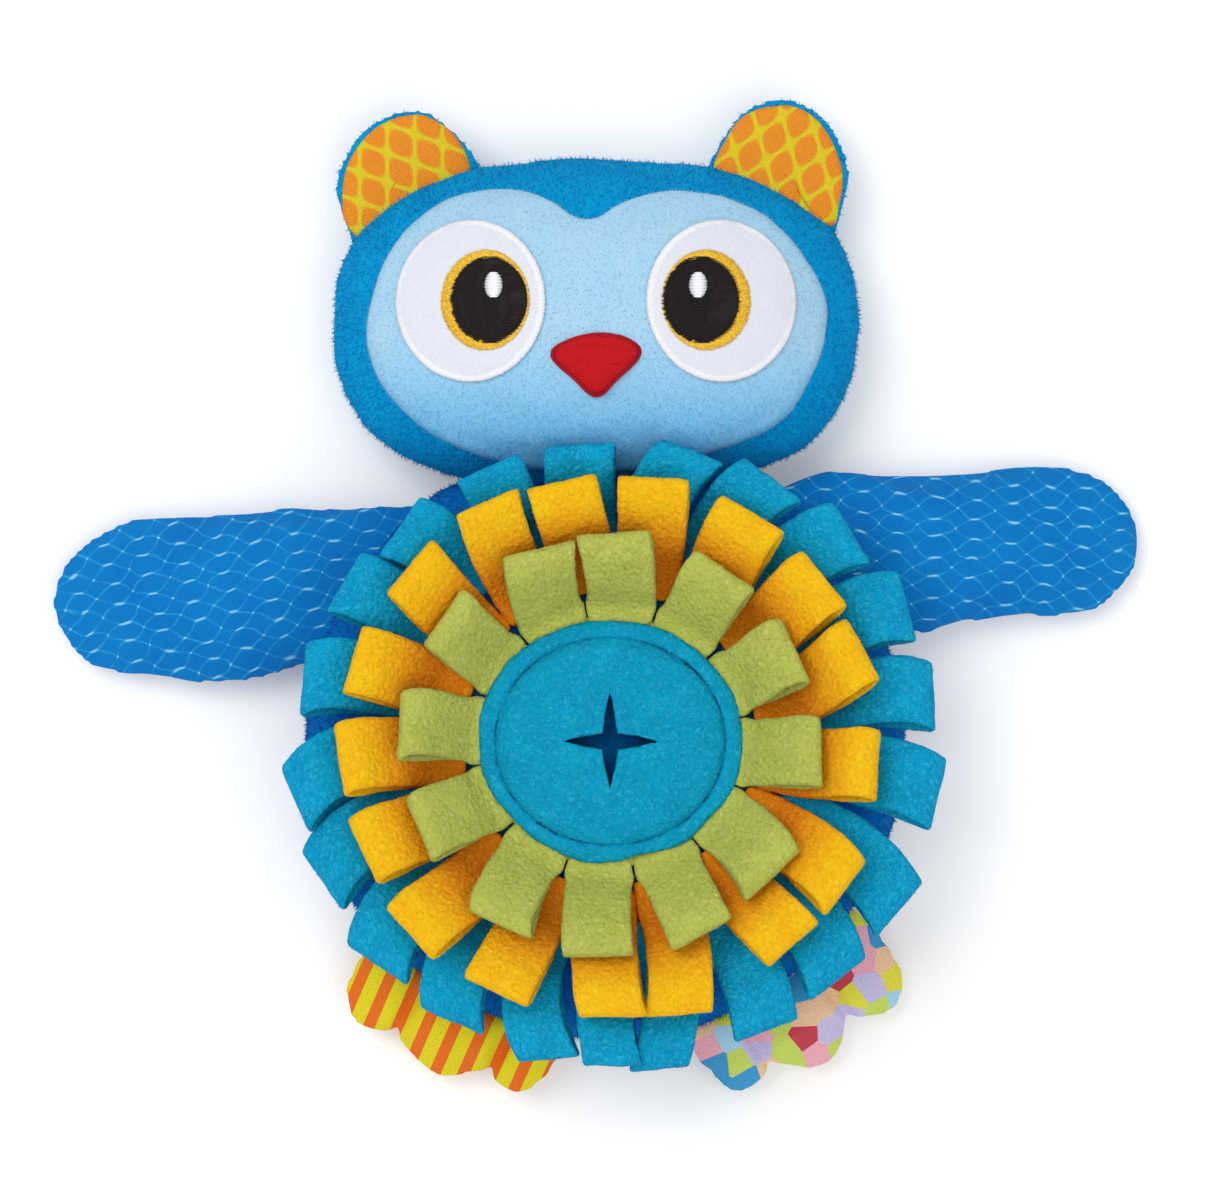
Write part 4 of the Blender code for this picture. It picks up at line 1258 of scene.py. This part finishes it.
def makeRing(colour, trees):
    ring = ringLooks[colour]
    count = len(ring["tips"])
    shift = sum(tip - 360 * number / count for number, tip in enumerate(ring["tips"])) / count
    mesh = bmesh.new()
    mesh.verts.layers.float_vector.new("clothPlace")
    mesh.verts.layers.float.new("outward")
    for number, tip in enumerate(ring["tips"]):
        rootAngle = math.radians(shift + 360 * number / count)
        height = frontOf(trees, around(rootAngle, ring["radius"])) + stripLook["hemGap"]
        addStrip(mesh, ring, number, rootAngle, math.radians(tip), height)
    addHem(mesh, ring, trees)
    bmesh.ops.recalc_face_normals(mesh, faces=mesh.faces)
    piece = newPiece(colour + "Loops", mesh, materials[colour + "Fleece"])
    thicken(piece, stripLook["wall"], 0)
    subdivide(piece, 1)
    roughen(piece, stripLook["lumps"])
    dress(piece, colour + "_loop_ring", "body")
    dress(addPile(colour + "Nap", piece, "fleece"), None, "body")


def makeBase():
    piece = layPatch("baseCloth", *edgeOf("flower_base"), treeOf(body), materials["baseFleece"], baseLook)
    rememberPlace(piece)
    dress(piece, "flower_base", "body")
    cutFrom("flower_base", math.pi / 4)
    return piece


lidLook = {"around": 192, "rows": 26, "thickness": 2.0 * mm, "arm": 14 * mm, "corner": 3.0 * mm, "lift": 3.5 * mm,
           "crown": 4.0 * mm, "grooveAt": 0.875, "grooveWide": 0.07, "groove": 2.4 * mm, "curl": 0.6 * mm,
           "curlRows": 5, "lumps": ((12 * mm, 0.6 * mm), (1.8 * mm, 0.25 * mm)), "ragged": 1.3 * mm,
           "raggedOver": 14 * mm, "corners": 8}
lidSeam = {"count": 96, "ends": (0.18, 0.82), "thick": 0.5 * mm, "rise": 0.02 * mm}


def lidPlace(turn, share, half, trees):
    # a point of the lid, a share of the way from its crossed slit out to its rim
    look = lidLook
    side, along = divmod(turn * look["corners"], 1)
    slit = [around(math.tau * (side + step) / look["corners"], look["corner" if (int(side) + step) % 2 else "arm"])
            for step in (0, 1)]
    rim = around(math.tau * turn) * half
    rim *= 1 + noise.noise(rim / look["raggedOver"]) * look["ragged"] / half.x
    place = slit[0].lerp(slit[1], along).lerp(rim, share)
    spread = math.hypot(place.x / half.x, place.y / half.y)
    dip = max(0, 1 - abs(spread - look["grooveAt"]) / look["grooveWide"])
    roll = max(0, (spread - look["grooveAt"]) / (1 - look["grooveAt"]))
    nearSlit = max(0, 1 - share * look["curlRows"]) * (1 - abs(2 * along - 1))
    place.z = (frontOf(trees, place) + look["lift"] + look["crown"] * (1 - min(spread, 1) ** 2)
               - look["groove"] * dip * dip - look["curl"] * roll ** 2 + look["curl"] * nearSlit)
    return place


def makeLid(trees):
    low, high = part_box("pocket_lid")
    half = (high - low) / 2
    half.z = 0
    mesh = bmesh.new()
    bmesh.ops.create_grid(mesh, x_segments=lidLook["around"], y_segments=lidLook["rows"], size=1)
    for vertex in mesh.verts:
        vertex.co = lidPlace((vertex.co.x + 1) / 2, (vertex.co.y + 1) / 2, half, trees)
    bmesh.ops.remove_doubles(mesh, verts=mesh.verts, dist=sameSpot)
    bmesh.ops.recalc_face_normals(mesh, faces=mesh.faces)
    if sum(face.normal.z for face in mesh.faces) < 0:
        bmesh.ops.reverse_faces(mesh, faces=mesh.faces)
    piece = newPiece("lidFleece", mesh, materials["lidFleece"])
    thicken(piece, lidLook["thickness"], 1)
    roughen(piece, lidLook["lumps"])
    rememberPlace(piece)
    cloth, seam = treeOf(piece), bmesh.new()
    for number in range(lidSeam["count"]):
        ends = [dropOnto(cloth, around(math.tau * (number + step) / lidSeam["count"]) * half * lidLook["grooveAt"])[0]
                for step in lidSeam["ends"]]
        addThread(seam, *ends, lidSeam["thick"], lidSeam["rise"])
    stitches = sew("lidStitches", seam, "seamThread")
    dress(piece, "pocket_lid", "body")
    dress(stitches, None, "body")


flowerGround = treeOf(makeBase()), treeOf(body)
for colour in ringLooks:
    makeRing(colour, flowerGround)
    print(colour, "loops folded")
makeLid(flowerGround)
print("lid sewn")


# Floor, lights and world

stageLook = {"size": 8.0, "grey": 0.90, "glow": 0.14, "drop": 0.2 * mm, "sky": 0.6}
lamps = {
    "key": {"at": (-0.7, 0.6, 1.7), "size": 1.2, "power": 15.2},
    "fill": {"at": (0.5, -0.7, 1.6), "size": 1.6, "power": 9.8},
}


def addFloor(look):
    mesh = bmesh.new()
    bmesh.ops.create_grid(mesh, x_segments=1, y_segments=1, size=look["size"] / 2)
    bmesh.ops.translate(mesh, verts=mesh.verts, vec=(0, 0, -look["drop"]))
    material = bpy.data.materials.new("paperFloor")
    material.use_nodes = True
    tree = material.node_tree
    tree.nodes.remove(tree.nodes["Principled BSDF"])
    paint = addNode(tree, "ShaderNodeBsdfDiffuse", {"Color": (look["grey"], look["grey"], look["grey"], 1)})
    glow = addNode(tree, "ShaderNodeEmission", {"Color": (1, 1, 1, 1), "Strength": look["glow"]})
    seen = addNode(tree, "ShaderNodeLightPath").outputs["Is Camera Ray"]
    clear = addNode(tree, "ShaderNodeEmission", {"Strength": 0.0})
    extra = addNode(tree, "ShaderNodeMixShader", {0: seen, 1: clear.outputs[0], 2: glow.outputs[0]})
    both = addNode(tree, "ShaderNodeAddShader", {0: paint.outputs[0], 1: extra.outputs[0]})
    feed(tree, tree.nodes["Material Output"].inputs["Surface"], both.outputs[0])
    newPiece("floor", mesh, material)


def addLamp(name, look):
    data = bpy.data.lights.new(name, "AREA")
    data.size = look["size"]
    data.energy = look["power"]
    lamp = bpy.data.objects.new(name, data)
    lamp.location = look["at"]
    lamp.rotation_euler = Vector(look["at"]).to_track_quat("Z", "Y").to_euler()
    bpy.context.scene.collection.objects.link(lamp)


def addWorld(strength):
    world = bpy.data.worlds.new("studio")
    bpy.context.scene.world = world
    world.use_nodes = True
    tree = world.node_tree
    ground = tree.nodes["Background"]
    seen = addNode(tree, "ShaderNodeLightPath").outputs["Is Camera Ray"]
    feed(tree, ground.inputs["Strength"], doMath(tree, "ADD", scaled(tree, seen, 1 - strength), strength))
    ground.inputs["Color"].default_value = (1, 1, 1, 1)


addFloor(stageLook)
for name, look in lamps.items():
    addLamp(name, look)
addWorld(stageLook["sky"])
bpy.context.scene.view_settings.view_transform = "Standard"

print("owl finished")
